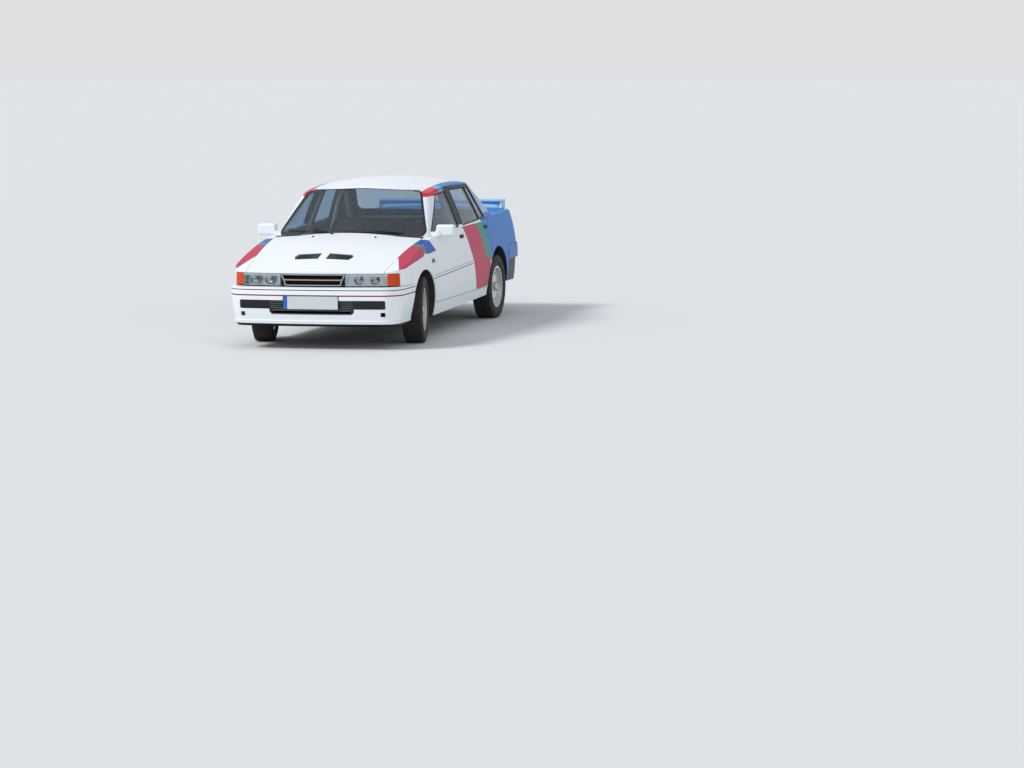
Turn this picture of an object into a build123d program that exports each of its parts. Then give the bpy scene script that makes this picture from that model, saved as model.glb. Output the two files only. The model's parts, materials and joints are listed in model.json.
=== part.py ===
from build123d import *
from math import atan2, cos, degrees, hypot, pi, radians, sin, sqrt, tan
import os

# Rally car: a mid-size four-door saloon of the late 1980s, built as separate pieces.
# Millimetres. The front is -Y, the car's left is +X, Z is up, and the ground is z = 0.

# Wheels and axles
WHEELBASE = 2600
FRONT_AXLE_Y = -1375
FRONT_TRACK = 1460
REAR_TRACK = 1450
TYRE_R = 308
TYRE_W = 196
BEAD_R = 190
RIM_W = 168
DISC_T = 24
HUB_R = 62
STEER_PARKED = 9.5        # degrees to the left, as the car stands
KINGPIN_INSET = 80        # from the wheel's middle plane inwards to the steering axis
DISC_X = 44
RIM_HOLES = 16
RIM_HOLE_R = 14
RIM_HOLE_CIRCLE_R = 130
KINGPIN_LOW_Z = 178
KINGPIN_HIGH_Z = 442
KINGPIN_R = 20
STUB_R = 26
BEARING_GAP = 0.4
STRUT_X = 585
STRUT_R = 30
STRUT_TOP_Z = 800
TOWER_R = 82
FRONT_ARCH_R = 368
FRONT_ARCH_SHIFT = -12
REAR_ARCH_R = 392
ARCH_RAISE = 6            # the arch centres sit a little above the wheel centres

# Body block below the belt: a section of two arcs, taken round a plan of tangent arcs
HALF_WIDTH = 847.5
SIDE_R = 65000
SIDE_MID_Y = -250
NOSE_Y = -2218
NOSE_R = 3000
FRONT_CORNER_R = 230
TAIL_Y = 2200
TAIL_R = 5000
REAR_CORNER_R = 240
WAIST_Z = 600
ABOVE_WAIST_R = 1250
BELOW_WAIST_R = 1950
BODY_BOTTOM_Z = 180
BODY_TOP_Z = 1090

# Bonnet, belt line and boot
BONNET_LONG_R = 5450
BONNET_CROSS_R = 9000
BONNET_FRONT_Z = 712
BONNET_REAR_Y = -1085
BONNET_REAR_Z = 975
BONNET_HALF_FRONT = 655
BONNET_HALF_REAR = 722
BONNET_T = 18
BULGE_CROSS_R = 4000      # the raised middle of the bonnet meets its sides at a crease
BULGE_FRONT_RISE = 7
BULGE_REAR_RISE = 17
SCUTTLE_LENGTH = 90
SCUTTLE_Y = -1080
FENDER_GAP = 5
BELT_FRONT_Z = 945
BELT_MID_Z = 962
BELT_REAR_Z = 1012
BOOT_LONG_R = 9000
BOOT_CROSS_R = 9000
BOOT_PEAK_Z = 1042
BOOT_PEAK_Y = 1950
BOOT_FRONT_Y = 1500
BOOT_HALF_W = 640
BOOT_PIVOT_Y = 1540
BOOT_PIVOT_Z = 981
BOOT_NOSE_R = 49          # the lid's front edge is rounded about its hinge pins
PIN_R = 7

# Bumpers: one plan and section for both
BUMPER_PROUD = 4
BUMPER_NOSE_Y = -2285
BUMPER_TAIL_Y = 2275
BUMPER_R = 5400
FRONT_BUMPER_CORNER_R = 200
REAR_BUMPER_CORNER_R = 280
FRONT_BUMPER_WAIST_Z = 520
REAR_BUMPER_WAIST_Z = 610
BUMPER_ABOVE_R = 420
BUMPER_BELOW_R = 900
BUMPER_DEPTH = 92
CREASE_Z = 551            # groove round the front bumper
CREASE_H = 5
CREASE_DEPTH = 5
GRILLE_SINK = 4
GRILLE_DEPTH = 46
FRONT_BUMPER_LOW_Z = 218
FRONT_BUMPER_TOP_Z = 577
FRONT_BUMPER_END_Y = -1722
REAR_BUMPER_LOW_Z = 545
REAR_BUMPER_TOP_Z = 690
VALANCE_LOW_Z = 320
REAR_BUMPER_END_Y = 1640

# Lamps, grille and tail
LAMP_LOW_Z = 588
LAMP_TOP_Z = 696
GRILLE_HALF_W = 312
HEADLAMP_END_X = 690
INDICATOR_END_Y = -2050
NOSE_GAP = 4
NOSE_PANEL_TOP_Z = 664
LENS_T = 4
LAMP_WALL = 6
LAMP_BOWL_DEPTH = 62
LAMP_BULGE = 2.1         # how far the lamps' backs stand behind the body's waist, up to the panel's top
TAIL_LAMP_LOW_Z = 712
TAIL_LAMP_TOP_Z = 880
TAIL_LAMP_IN_X = 408
TAIL_LAMP_END_Y = 2040
BOOT_LIP_Z = 705
REAR_PANEL_HALF_W = 700
DECK_HALF_W = 612
SPOILER_Y = 2120
SPOILER_Z = 1092
SPOILER_CHORD = 130
SPOILER_T = 24
SPOILER_HALF_W = 640

# Glasshouse: half widths and screens at three heights, and the roof's two radii
GLASS_LOW_Z = 900
GLASS_MID_Z = 1160
GLASS_HIGH_Z = 1460
GLASS_LOW_X = 811
GLASS_MID_X = 716
GLASS_HIGH_X = 582
GLASS_MID_Y = 200
GLASS_LOW_R = 14000
GLASS_HIGH_R = 5400
SCREEN_LOW_Y = -1165
SCREEN_HIGH_Y = -428
SCREEN_LOW_R = 2100
SCREEN_HIGH_R = 2600
BACK_LOW_Y = 1640
BACK_HIGH_Y = 790
BACK_LOW_R = 2400
BACK_HIGH_R = 3000
PILLAR_CORNER_R = 90
ROOF_PEAK_Z = 1440
ROOF_PEAK_Y = 250
ROOF_CROSS_R = 2900
ROOF_LONG_R = 6500

# Wall thicknesses
SKIN_T = 10
DOOR_T = 80
FRAME_T = 35
HINGE_SWING = 108         # how far inside the skin a door's leading edge swings
DOOR_HINGE_X = 833.5
REAR_DOOR_HINGE_Y = 93
PILLAR_T = 50
PILLAR_GAP = 9
PILLAR_TOP_T = 30
B_PILLAR_FRONT = 34
B_PILLAR_REAR = 50
LIP_W = 26
ROOF_T = 22
BUMPER_T = 10
GLASS_T = 5
GLASS_SINK = 4

# Roll cage
HOOP_Y = 335
HOOP_TOP_Z = 1342
CAGE_R = 20

# Gaps
SHUT_GAP = 5
HINGE_GAP = 6
SEAT_GAP = 0.3
CORE_STEP = 14

# Doors in side view
DOOR_FRONT_Y = -1000
DOOR_MID_Y = 30
DOOR_REAR_Y = 988
DOOR_BOTTOM_Z = 345
SILL_TOP_Z = 341
BODY_FRONT_Y = DOOR_FRONT_Y - SHUT_GAP / 2
FENDER_END_Y = DOOR_FRONT_Y + SHUT_GAP / 2 - HINGE_GAP
GUTTER_X = 600
GUTTER_DROP = 15
FRAME_DEPTH = 34
SILL_BOTTOM_FRONT_Z = 226
SILL_BOTTOM_REAR_Z = 262
SILL_END_Y = 900

# Floor, wheelhouses and bulkheads
FLOOR_Z = 215
FLOOR_T = 22
TUNNEL_HALF_W = 120
TUNNEL_Z = 345
BULKHEAD_Y = -1040
BULKHEAD_T = 18
REAR_BULKHEAD_Y = 1090
HEEL_Y = 756
BOOT_FLOOR_Z = 335
SHELF_Z = 975
APRON_X = 436
REAR_HOUSE_X = 545
HOUSE_T = 6
HOUSE_GAP = 14
HOUSE_LOW_Z = 335


def tangent_corner(side, side_r, end, end_r, corner_r):
    """Centre of the corner circle that touches both larger circles from inside."""
    from_side = side_r - corner_r
    from_end = end_r - corner_r
    apart = hypot(end[0] - side[0], end[1] - side[1])
    along = (from_side ** 2 - from_end ** 2 + apart ** 2) / (2 * apart)
    across = sqrt(from_side ** 2 - along ** 2)
    ux = (end[0] - side[0]) / apart
    uy = (end[1] - side[1]) / apart
    foot = (side[0] + along * ux, side[1] + along * uy)
    both = [(foot[0] - across * uy, foot[1] + across * ux), (foot[0] + across * uy, foot[1] - across * ux)]
    return min(both, key=lambda c: abs(c[1]))


def plan_wire(z, half, side_r, mid_y, front, rear, inset=0):
    """Closed plan outline at height z: a nose arc, a tail arc and two sides, joined by corner arcs.

    front and rear are (y on the centre line, radius, corner radius).
    """
    side = (half - side_r, mid_y)
    nose = (0, front[0] + front[1])
    tail = (0, rear[0] - rear[1])
    corner_f = tangent_corner(side, side_r, nose, front[1], front[2])
    corner_r = tangent_corner(side, side_r, tail, rear[1], rear[2])

    def on(big, big_r, corner):
        away = hypot(corner[0] - big[0], corner[1] - big[1])
        share = (big_r - inset) / away
        return (big[0] + share * (corner[0] - big[0]), big[1] + share * (corner[1] - big[1]))

    def middle(corner, radius, a, b):
        mx = (a[0] + b[0]) / 2 - corner[0]
        my = (a[1] + b[1]) / 2 - corner[1]
        share = (radius - inset) / hypot(mx, my)
        return (corner[0] + share * mx, corner[1] + share * my)

    nose_end = on(nose, front[1], corner_f)
    side_front = on(side, side_r, corner_f)
    side_rear = on(side, side_r, corner_r)
    tail_end = on(tail, rear[1], corner_r)
    front_middle = middle(corner_f, front[2], nose_end, side_front)
    rear_middle = middle(corner_r, rear[2], side_rear, tail_end)
    side_middle = (half - inset, mid_y)

    def left(p):
        return (p[0], p[1], z)

    def right(p):
        return (-p[0], p[1], z)

    return Wire([
        ThreePointArc(right(nose_end), (0, front[0] + inset, z), left(nose_end)),
        ThreePointArc(left(nose_end), left(front_middle), left(side_front)),
        ThreePointArc(left(side_front), left(side_middle), left(side_rear)),
        ThreePointArc(left(side_rear), left(rear_middle), left(tail_end)),
        ThreePointArc(left(tail_end), (0, rear[0] - inset, z), right(tail_end)),
        ThreePointArc(right(tail_end), right(rear_middle), right(side_rear)),
        ThreePointArc(right(side_rear), right(side_middle), right(side_front)),
        ThreePointArc(right(side_front), right(front_middle), right(nose_end)),
    ])


def block(x0, x1, y0, y1, z0, z1):
    """A box given by its limits."""
    return Pos((x0 + x1) / 2, (y0 + y1) / 2, (z0 + z1) / 2) * Box(x1 - x0, y1 - y0, z1 - z0)


def both_sides(shape):
    """The shape and its mirror image across the middle of the car."""
    return Compound([shape, mirror(shape, about=Plane.YZ)])


def side_prism(points, radii, x0=60, x1=1000):
    """A side view outline of (y, z) corners, pushed out along X on the left side."""
    outline = FilletPolyline(*points, radius=radii, close=True)
    return extrude(Pos(x0, 0, 0) * (Plane.YZ * make_face(outline)), amount=x1 - x0, dir=(1, 0, 0))


def front_prism(points, radii, y0, y1):
    """A front view outline of (x, z) corners, pushed along Y."""
    outline = FilletPolyline(*points, radius=radii, close=True)
    return extrude(Pos(0, y0, 0) * (Plane.XZ * make_face(outline)), amount=y1 - y0, dir=(0, 1, 0))


def plan_prism(points, radii, z0, z1):
    """A plan view outline of (x, y) corners, pushed up."""
    outline = FilletPolyline(*points, radius=radii, close=True)
    return extrude(Pos(0, 0, z0) * make_face(outline), amount=z1 - z0, dir=(0, 0, 1))


def wheel_place(front, x_shift=0):
    """Wheel centre on the left side."""
    track = FRONT_TRACK if front else REAR_TRACK
    y = FRONT_AXLE_Y if front else FRONT_AXLE_Y + WHEELBASE
    return (track / 2 + x_shift, y, TYRE_R)


def arch_disc(front, radius, x0, x1):
    """A disc about the wheel arch centre, across the car."""
    _, y, z = wheel_place(front)
    shift = FRONT_ARCH_SHIFT if front else 0
    disc = Plane(origin=(x0, y + shift, z + ARCH_RAISE), z_dir=(1, 0, 0)) * Circle(radius)
    return extrude(disc, amount=x1 - x0, dir=(1, 0, 0))


# Envelopes: the outside of the body, and surfaces parallel to it further in

def swept_block(half, nose, tail, waist_z, above_r, below_r, z0, z1, inset):
    """A block milled by one section, an arc above the waist and one below, taken round its plan.

    nose and tail are (y on the centre line, radius, corner radius).
    """
    path = plan_wire(waist_z, half, SIDE_R, SIDE_MID_Y, nose, tail)
    reach = 300

    def at(z):
        radius = (above_r if z > waist_z else below_r) - inset
        depth = inset + radius - sqrt(radius ** 2 - (z - waist_z) ** 2)
        return (0, nose[0] + depth, z)

    section = make_face([
        ThreePointArc(at(z0), at((z0 + waist_z) / 2), at(waist_z)),
        ThreePointArc(at(waist_z), at((z1 + waist_z) / 2), at(z1)),
        Polyline(at(z1), (0, nose[0] - reach, z1), (0, nose[0] - reach, z0), at(z0)),
    ])
    ring = sweep(section, path=path, transition=Transition.RIGHT)
    return block(-half - 5, half + 5, nose[0] - 5, tail[0] + 5, z0, z1) - ring


def lower_block(inset):
    """The body below the belt."""
    return swept_block(HALF_WIDTH, (NOSE_Y, NOSE_R, FRONT_CORNER_R), (TAIL_Y, TAIL_R, REAR_CORNER_R),
                       WAIST_Z, ABOVE_WAIST_R, BELOW_WAIST_R, BODY_BOTTOM_Z, BODY_TOP_Z, inset)


def bumper_block(z0, z1, inset, waist_z=FRONT_BUMPER_WAIST_Z):
    """The outside of a bumper, a little proud of the body; each bumper keeps its own end of it."""
    return swept_block(HALF_WIDTH + BUMPER_PROUD, (BUMPER_NOSE_Y, BUMPER_R, FRONT_BUMPER_CORNER_R),
                       (BUMPER_TAIL_Y, BUMPER_R, REAR_BUMPER_CORNER_R), waist_z, BUMPER_ABOVE_R,
                       BUMPER_BELOW_R, z0, z1, inset)


def dome(peak_y, peak_z, cross_r, long_r, y0, y1, inset=0):
    """Everything below a surface that is an arc across the car, turned about a line across it."""
    half = 900
    drop = cross_r - sqrt(cross_r ** 2 - half ** 2)
    top = peak_z - inset
    floor_z = 0
    section = make_face([
        ThreePointArc((-half, peak_y, top - drop), (0, peak_y, top), (half, peak_y, top - drop)),
        Polyline((half, peak_y, top - drop), (half, peak_y, floor_z), (-half, peak_y, floor_z),
                 (-half, peak_y, top - drop)),
    ])
    axis = Axis((0, peak_y, peak_z - long_r), (1, 0, 0))
    reach = degrees(2600 / long_r)
    turned = revolve(section, axis=axis, revolution_arc=reach) + revolve(section, axis=axis, revolution_arc=-reach)
    return turned & block(-half, half, y0, y1, floor_z + 50, peak_z + 10)


def bonnet_arc(front_z, rear_z, cross_r, inset):
    """Everything below one surface that climbs from the nose to the screen along an arc."""
    run = BONNET_REAR_Y - NOSE_Y
    rise = rear_z - front_z
    chord = hypot(run, rise)
    to_peak = sqrt(BONNET_LONG_R ** 2 - (chord / 2) ** 2)
    centre_y = NOSE_Y + run / 2 + to_peak * rise / chord
    centre_z = front_z + rise / 2 - to_peak * run / chord
    return dome(centre_y, centre_z + BONNET_LONG_R, cross_r, BONNET_LONG_R,
                NOSE_Y - 100, BONNET_REAR_Y + SCUTTLE_LENGTH, inset)


def bonnet_dome(inset):
    """Everything below the bonnet: its raised middle and its flatter sides cross at two creases."""
    sides = bonnet_arc(BONNET_FRONT_Z, BONNET_REAR_Z, BONNET_CROSS_R, inset)
    middle = bonnet_arc(BONNET_FRONT_Z + BULGE_FRONT_RISE, BONNET_REAR_Z + BULGE_REAR_RISE, BULGE_CROSS_R, inset)
    return sides + middle


def belt_prism(inset):
    """Everything below the belt line, between the bonnet and the boot."""
    y0 = BONNET_REAR_Y
    y1 = BOOT_FRONT_Y
    line = ThreePointArc((y0, BELT_FRONT_Z - inset), (0, BELT_MID_Z - inset), (y1, BELT_REAR_Z - inset))
    frame = Polyline((y1, BELT_REAR_Z - inset), (y1, 100), (y0, 100), (y0, BELT_FRONT_Z - inset))
    return extrude(Pos(-900, 0, 0) * (Plane.YZ * make_face([line, frame])), amount=1800, dir=(1, 0, 0))


def glasshouse(inset):
    """The cabin above the belt, lofted through three plan outlines."""
    mid_share = (GLASS_MID_Z - GLASS_LOW_Z) / (GLASS_HIGH_Z - GLASS_LOW_Z)
    bulge = 10

    def mixed(low, high, extra=0):
        return low + (high - low) * mid_share + extra

    levels = [
        (GLASS_LOW_Z, GLASS_LOW_X, GLASS_LOW_R, SCREEN_LOW_Y, SCREEN_LOW_R, BACK_LOW_Y, BACK_LOW_R),
        (GLASS_MID_Z, GLASS_MID_X, mixed(GLASS_LOW_R, GLASS_HIGH_R), mixed(SCREEN_LOW_Y, SCREEN_HIGH_Y, -bulge),
         mixed(SCREEN_LOW_R, SCREEN_HIGH_R), mixed(BACK_LOW_Y, BACK_HIGH_Y, bulge), mixed(BACK_LOW_R, BACK_HIGH_R)),
        (GLASS_HIGH_Z, GLASS_HIGH_X, GLASS_HIGH_R, SCREEN_HIGH_Y, SCREEN_HIGH_R, BACK_HIGH_Y, BACK_HIGH_R),
    ]
    wires = []
    for z, half, side_r, front_y, front_r, rear_y, rear_r in levels:
        wires.append(plan_wire(z, half, side_r, GLASS_MID_Y, (front_y, front_r, PILLAR_CORNER_R),
                               (rear_y, rear_r, PILLAR_CORNER_R), inset))
    return loft([make_face(w) for w in wires])


def envelope(low, up, top):
    """The whole body: its lower walls, its glasshouse and its upper faces each set inwards."""
    base = lower_block(low)
    front = base & bonnet_dome(top)
    middle = base & belt_prism(top)
    rear = base & dome(BOOT_PEAK_Y, BOOT_PEAK_Z, BOOT_CROSS_R, BOOT_LONG_R, BOOT_FRONT_Y - 1, TAIL_Y + 50, top)
    cabin = glasshouse(up) & dome(ROOF_PEAK_Y, ROOF_PEAK_Z, ROOF_CROSS_R, ROOF_LONG_R, -1300, 1800, top)
    return front + middle + rear + cabin


def roof_edge_z(y):
    """Height of the roof surface above the gutter."""
    return ROOF_PEAK_Z - GUTTER_X ** 2 / (2 * ROOF_CROSS_R) - (y - ROOF_PEAK_Y) ** 2 / (2 * ROOF_LONG_R)


def frame_top(y):
    """Height of the top edge of the door frames, just under the gutter."""
    return roof_edge_z(y) - GUTTER_DROP


def window_top(y):
    """Height of the top edge of the side windows."""
    return frame_top(y) - FRAME_DEPTH


OUTSIDE = envelope(0, 0, 0)
UNDER_SKIN = envelope(SKIN_T, SKIN_T, SKIN_T)
INNER_WALL = envelope(DOOR_T, FRAME_T, ROOF_T)
PILLAR_OUTER = envelope(HINGE_SWING, FRAME_T + PILLAR_GAP, ROOF_T + SEAT_GAP)
PILLAR_INNER = envelope(HINGE_SWING + PILLAR_T, FRAME_T + PILLAR_GAP + PILLAR_TOP_T, ROOF_T + SEAT_GAP)
WALL_LAYER = OUTSIDE - INNER_WALL
PILLAR_LAYER = PILLAR_OUTER - PILLAR_INNER


# Doors: a skin over a thicker core that is set back all round, with the window cut through

FRONT_DOOR = [(DOOR_FRONT_Y, DOOR_BOTTOM_Z), (DOOR_FRONT_Y, 935), (-925, 962), (-372, frame_top(-372)),
              (DOOR_MID_Y, frame_top(DOOR_MID_Y)), (DOOR_MID_Y, DOOR_BOTTOM_Z)]
FRONT_DOOR_RADII = [25, 60, 40, 45, 5, 25]
FRONT_WINDOW = [(-842, 988), (-796, 973), (-45, 985), (-45, window_top(-45)), (-340, window_top(-340))]
FRONT_WINDOW_RADII = [8, 10, 12, 12, 40]
REAR_DOOR = [(DOOR_MID_Y, DOOR_BOTTOM_Z), (DOOR_MID_Y, frame_top(DOOR_MID_Y)), (845, frame_top(845)),
             (DOOR_REAR_Y + 22, 1000), (DOOR_REAR_Y, 940), (DOOR_REAR_Y, DOOR_BOTTOM_Z)]
REAR_DOOR_RADII = [25, 5, 45, 20, 60, 25]
REAR_WINDOW = [(105, 990), (105, window_top(105)), (640, window_top(640)), (738, 1003)]
REAR_WINDOW_RADII = [12, 12, 10, 10]
QUARTER_WINDOW = [(762, 1004), (664, window_top(664)), (812, window_top(812)), (962, 1010)]
QUARTER_WINDOW_RADII = [8, 8, 30, 12]


def inset_outline(points, edge):
    """A convex outline moved inwards by edge millimetres, or outwards where edge is negative."""
    count = len(points)
    area = sum(points[i][0] * points[(i + 1) % count][1] - points[(i + 1) % count][0] * points[i][1]
               for i in range(count))
    turn = 1 if area > 0 else -1
    lines = []
    for i in range(count):
        y0, z0 = points[i]
        y1, z1 = points[(i + 1) % count]
        length = hypot(y1 - y0, z1 - z0)
        ny = -turn * (z1 - z0) / length
        nz = turn * (y1 - y0) / length
        lines.append((ny, nz, ny * y0 + nz * z0 + edge))
    moved = []
    for i in range(count):
        a, b = lines[i - 1], lines[i]
        det = a[0] * b[1] - a[1] * b[0]
        moved.append(((a[2] * b[1] - a[1] * b[2]) / det, (a[0] * b[2] - a[2] * b[0]) / det))
    return moved


def door(outline, radii, windows, over_arch):
    """One left door, cut from the wall by its outline and its windows."""
    edge = SHUT_GAP / 2
    step = side_prism(inset_outline(outline, edge - 1), radii) - side_prism(inset_outline(outline, edge + CORE_STEP), radii)
    shape = (WALL_LAYER & side_prism(inset_outline(outline, edge), radii)) - (UNDER_SKIN & step)
    for window, window_radii in windows:
        shape -= side_prism(window, window_radii)
    if over_arch:
        edge_r = REAR_ARCH_R + LIP_W + SHUT_GAP
        shape -= [arch_disc(False, edge_r, 60, 1000), arch_disc(False, edge_r + CORE_STEP, 60, 1000) & UNDER_SKIN]
    return shape


PANE_LAYER = glasshouse(GLASS_SINK) - glasshouse(GLASS_SINK + GLASS_T)


def side_pane(window, radii):
    """A pane set into its window opening, a little inside the frame's face."""
    return PANE_LAYER & side_prism(inset_outline(window, SEAT_GAP), radii)


# Screens and roof

WINDSCREEN = [(-728, 955), (-548, 1358), (0, 1380), (548, 1358), (728, 955), (0, 962)]
WINDSCREEN_RADII = [45, 60, 900, 60, 45, 3000]
BACK_WINDOW = [(-648, 1052), (-552, 1338), (0, 1362), (552, 1338), (648, 1052), (0, 1046)]
BACK_WINDOW_RADII = [45, 50, 900, 50, 45, 3000]


def screen_prism(outline, radii, y0, y1, edge=0):
    """A screen's outline in front view, pushed along the car."""
    return front_prism(inset_outline(outline, edge), radii, y0, y1)


FRONT_SCREEN_SPAN = (SCREEN_LOW_Y - 100, ROOF_PEAK_Y - 500)
BACK_SCREEN_SPAN = (ROOF_PEAK_Y + 500, BACK_LOW_Y + 100)
screen_hole = screen_prism(WINDSCREEN, WINDSCREEN_RADII, *FRONT_SCREEN_SPAN)
back_hole = screen_prism(BACK_WINDOW, BACK_WINDOW_RADII, *BACK_SCREEN_SPAN)
cabin_only = glasshouse(0)


def screen_pane(outline, radii, span):
    """A bonded screen, flush with the body."""
    layer = cabin_only - glasshouse(GLASS_T)
    return layer & screen_prism(outline, radii, *span, edge=SEAT_GAP)


def roof_plan(edge):
    """Plan outline of the roof panel, out to the gutters; it runs past both screens."""
    outline = plan_wire(0, GUTTER_X, GLASS_HIGH_R, GLASS_MID_Y, (SCREEN_HIGH_Y - 200, SCREEN_HIGH_R, 60),
                        (BACK_HIGH_Y + 260, BACK_HIGH_R, 60), edge)
    return extrude(Pos(0, 0, 1200) * make_face(outline), amount=300, dir=(0, 0, 1))


roof = (WALL_LAYER & roof_plan(0) & block(-900, 900, -700, 1150, 1290, 1500)) - screen_hole - back_hole


# Body sides: sill, pillars, cant rail and rear quarter in one piece

def opening(outline, radii, gap):
    """The hole that a door's skin closes."""
    return side_prism(inset_outline(outline, -gap), radii)


BUMPER_MOUTH = [(-697, 460), (697, 460), (697, 379), (405, 379), (405, 350), (380, 328),
                (-380, 328), (-405, 350), (-405, 379), (-697, 379)]
MOUTH_RADII = [14, 14, 14, 4, 8, 8, 8, 8, 4, 14]
MOUTH_SLOTS = [(338, 362, 372), (398, 408, 392), (416, 427, 392), (435, 447, 392)]
FOG_HOLE = [(648, 310), (648, 350), (692, 350), (692, 310)]
VENT = [(38, -1926), (255, -1926), (283, -1850), (262, -1781), (38, -1781)]


def wheelhouse(front, inner_x):
    """Half a drum over a wheel: an inner wall and a curved top that reaches the outer skin."""
    radius = (FRONT_ARCH_R if front else REAR_ARCH_R) + HOUSE_GAP
    drum = arch_disc(front, radius + HOUSE_T, inner_x - HOUSE_T, 900) - arch_disc(front, radius, inner_x, 900)
    keep = block(0, 900, -2600, 2600, HOUSE_LOW_Z, BODY_TOP_Z)
    if front:
        keep += block(0, 900, FRONT_AXLE_Y, 0, FLOOR_Z, BODY_TOP_Z)
        keep &= block(0, 900, -2600, BODY_FRONT_Y - SEAT_GAP, FLOOR_Z, BODY_TOP_Z)
    return drum & UNDER_SKIN & keep


BOOT_LID_VIEW = [(BOOT_HALF_W, 1150), (BOOT_HALF_W, TAIL_LAMP_TOP_Z + 10), (TAIL_LAMP_IN_X - 6, TAIL_LAMP_TOP_Z + 10),
                 (TAIL_LAMP_IN_X - 6, BOOT_LIP_Z), (-TAIL_LAMP_IN_X + 6, BOOT_LIP_Z),
                 (-TAIL_LAMP_IN_X + 6, TAIL_LAMP_TOP_Z + 10), (-BOOT_HALF_W, TAIL_LAMP_TOP_Z + 10), (-BOOT_HALF_W, 1150)]
BOOT_LID_RADII = [5, 12, 12, 20, 20, 12, 12, 5]
boot_hole = front_prism(BOOT_LID_VIEW, BOOT_LID_RADII, BOOT_FRONT_Y, TAIL_Y + 50)
tail_lamp_hole = block(TAIL_LAMP_IN_X, 900, TAIL_LAMP_END_Y, TAIL_Y + 50, TAIL_LAMP_LOW_Z, TAIL_LAMP_TOP_Z)
rear_panel_hole = block(-REAR_PANEL_HALF_W, REAR_PANEL_HALF_W, TAIL_Y - DOOR_T - 40, TAIL_Y + 50,
                        BODY_BOTTOM_Z, BOOT_LIP_Z - SHUT_GAP)
deck_hole = block(-DECK_HALF_W, DECK_HALF_W, BACK_LOW_Y - 400, BOOT_FRONT_Y, 900, 1080)
boot_turn = Pos(0, BOOT_PIVOT_Y, BOOT_PIVOT_Z) * Rot(0, 90, 0) * Cylinder(BOOT_NOSE_R + SHUT_GAP, 2 * BOOT_HALF_W)
roof_hole = roof_plan(-SEAT_GAP) & block(-900, 900, -700, 1150, 1290 - SEAT_GAP, 1500)
quarter_low = block(60, 1000, REAR_BUMPER_END_Y - SHUT_GAP, TAIL_Y + 50, BODY_BOTTOM_Z, REAR_BUMPER_TOP_Z + SHUT_GAP)

wall_region = side_prism([(BODY_FRONT_Y, SILL_TOP_Z), (BODY_FRONT_Y, 1500), (TAIL_Y + 20, 1500),
                          (TAIL_Y + 20, VALANCE_LOW_Z), (SILL_END_Y, SILL_TOP_Z)], 1)
house_step = arch_disc(False, REAR_ARCH_R + HOUSE_GAP + HOUSE_T, 60, 1000) & UNDER_SKIN
door_holes = opening(FRONT_DOOR, FRONT_DOOR_RADII, SHUT_GAP / 2)
door_holes += opening(REAR_DOOR, REAR_DOOR_RADII, SHUT_GAP / 2) - arch_disc(False, REAR_ARCH_R + LIP_W, 60, 1000)
side_wall = (WALL_LAYER & wall_region) - [
    arch_disc(False, REAR_ARCH_R, 60, 1000), house_step, quarter_low - UNDER_SKIN, door_holes,
    screen_hole, back_hole, boot_hole, tail_lamp_hole, rear_panel_hole, deck_hole, roof_hole, boot_turn]
sill_region = side_prism([(BODY_FRONT_Y, SILL_BOTTOM_FRONT_Z), (BODY_FRONT_Y, SILL_TOP_Z),
                          (SILL_END_Y, SILL_TOP_Z), (SILL_END_Y, SILL_BOTTOM_REAR_Z)], 1)
sill = (OUTSIDE & sill_region) - PILLAR_INNER - arch_disc(False, REAR_ARCH_R + HOUSE_GAP + HOUSE_T, 60, 1000)
frame_low_x = GLASS_LOW_X - FRAME_T
frame_mid_x = GLASS_MID_X - FRAME_T
frame_high_x = GLASS_HIGH_X - FRAME_T
edge_y = REAR_DOOR_HINGE_Y - DOOR_MID_Y
sweep_edge = [(hypot(DOOR_HINGE_X - x, edge_y) + SHUT_GAP, z)
              for x, z in ((frame_low_x, GLASS_LOW_Z - 6), (frame_mid_x, GLASS_MID_Z), (frame_high_x, GLASS_HIGH_Z))]
sweep_face = make_face(Polyline((0, 0, GLASS_LOW_Z - 6), *[(r, 0, z) for r, z in sweep_edge], (0, 0, GLASS_HIGH_Z), close=True))
edge_sweep = Pos(DOOR_HINGE_X, REAR_DOOR_HINGE_Y, 0) * revolve(sweep_face, axis=Axis.Z)
b_pillar = PILLAR_LAYER & block(60, 1000, DOOR_MID_Y - B_PILLAR_FRONT, DOOR_MID_Y + B_PILLAR_REAR, SILL_TOP_Z - 10, 1400)
b_shelf = block(690, 758, DOOR_MID_Y - B_PILLAR_FRONT, DOOR_MID_Y + B_PILLAR_REAR, 906, 936)
b_pillar = (b_pillar + b_shelf) - edge_sweep
rail_region = block(450, 1000, -440, 880, 1300, 1400)
rail_web = (INNER_WALL & rail_region) - PILLAR_OUTER - door_holes
cant_rail = PILLAR_LAYER & block(450, 1000, -440, 880, 1318, 1400)
hinge_post = PILLAR_LAYER & block(450, 1000, BULKHEAD_Y - BULKHEAD_T, BULKHEAD_Y + 90, SILL_TOP_Z - 10, 885)
hinge_post -= arch_disc(True, FRONT_ARCH_R + HOUSE_GAP + HOUSE_T, 60, 1000)
body_side = side_wall + [sill, b_pillar, cant_rail, rail_web, hinge_post]


# Front end

def bonnet_edge(gap):
    """Plan outline of the bonnet, moved out by gap."""
    return plan_prism([(-BONNET_HALF_FRONT - gap, NOSE_Y - 50), (-BONNET_HALF_REAR - gap, SCUTTLE_Y + gap),
                       (BONNET_HALF_REAR + gap, SCUTTLE_Y + gap), (BONNET_HALF_FRONT + gap, NOSE_Y - 50)],
                      [1, 30, 30, 1], LAMP_TOP_Z + NOSE_GAP - gap, BODY_TOP_Z)


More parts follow.
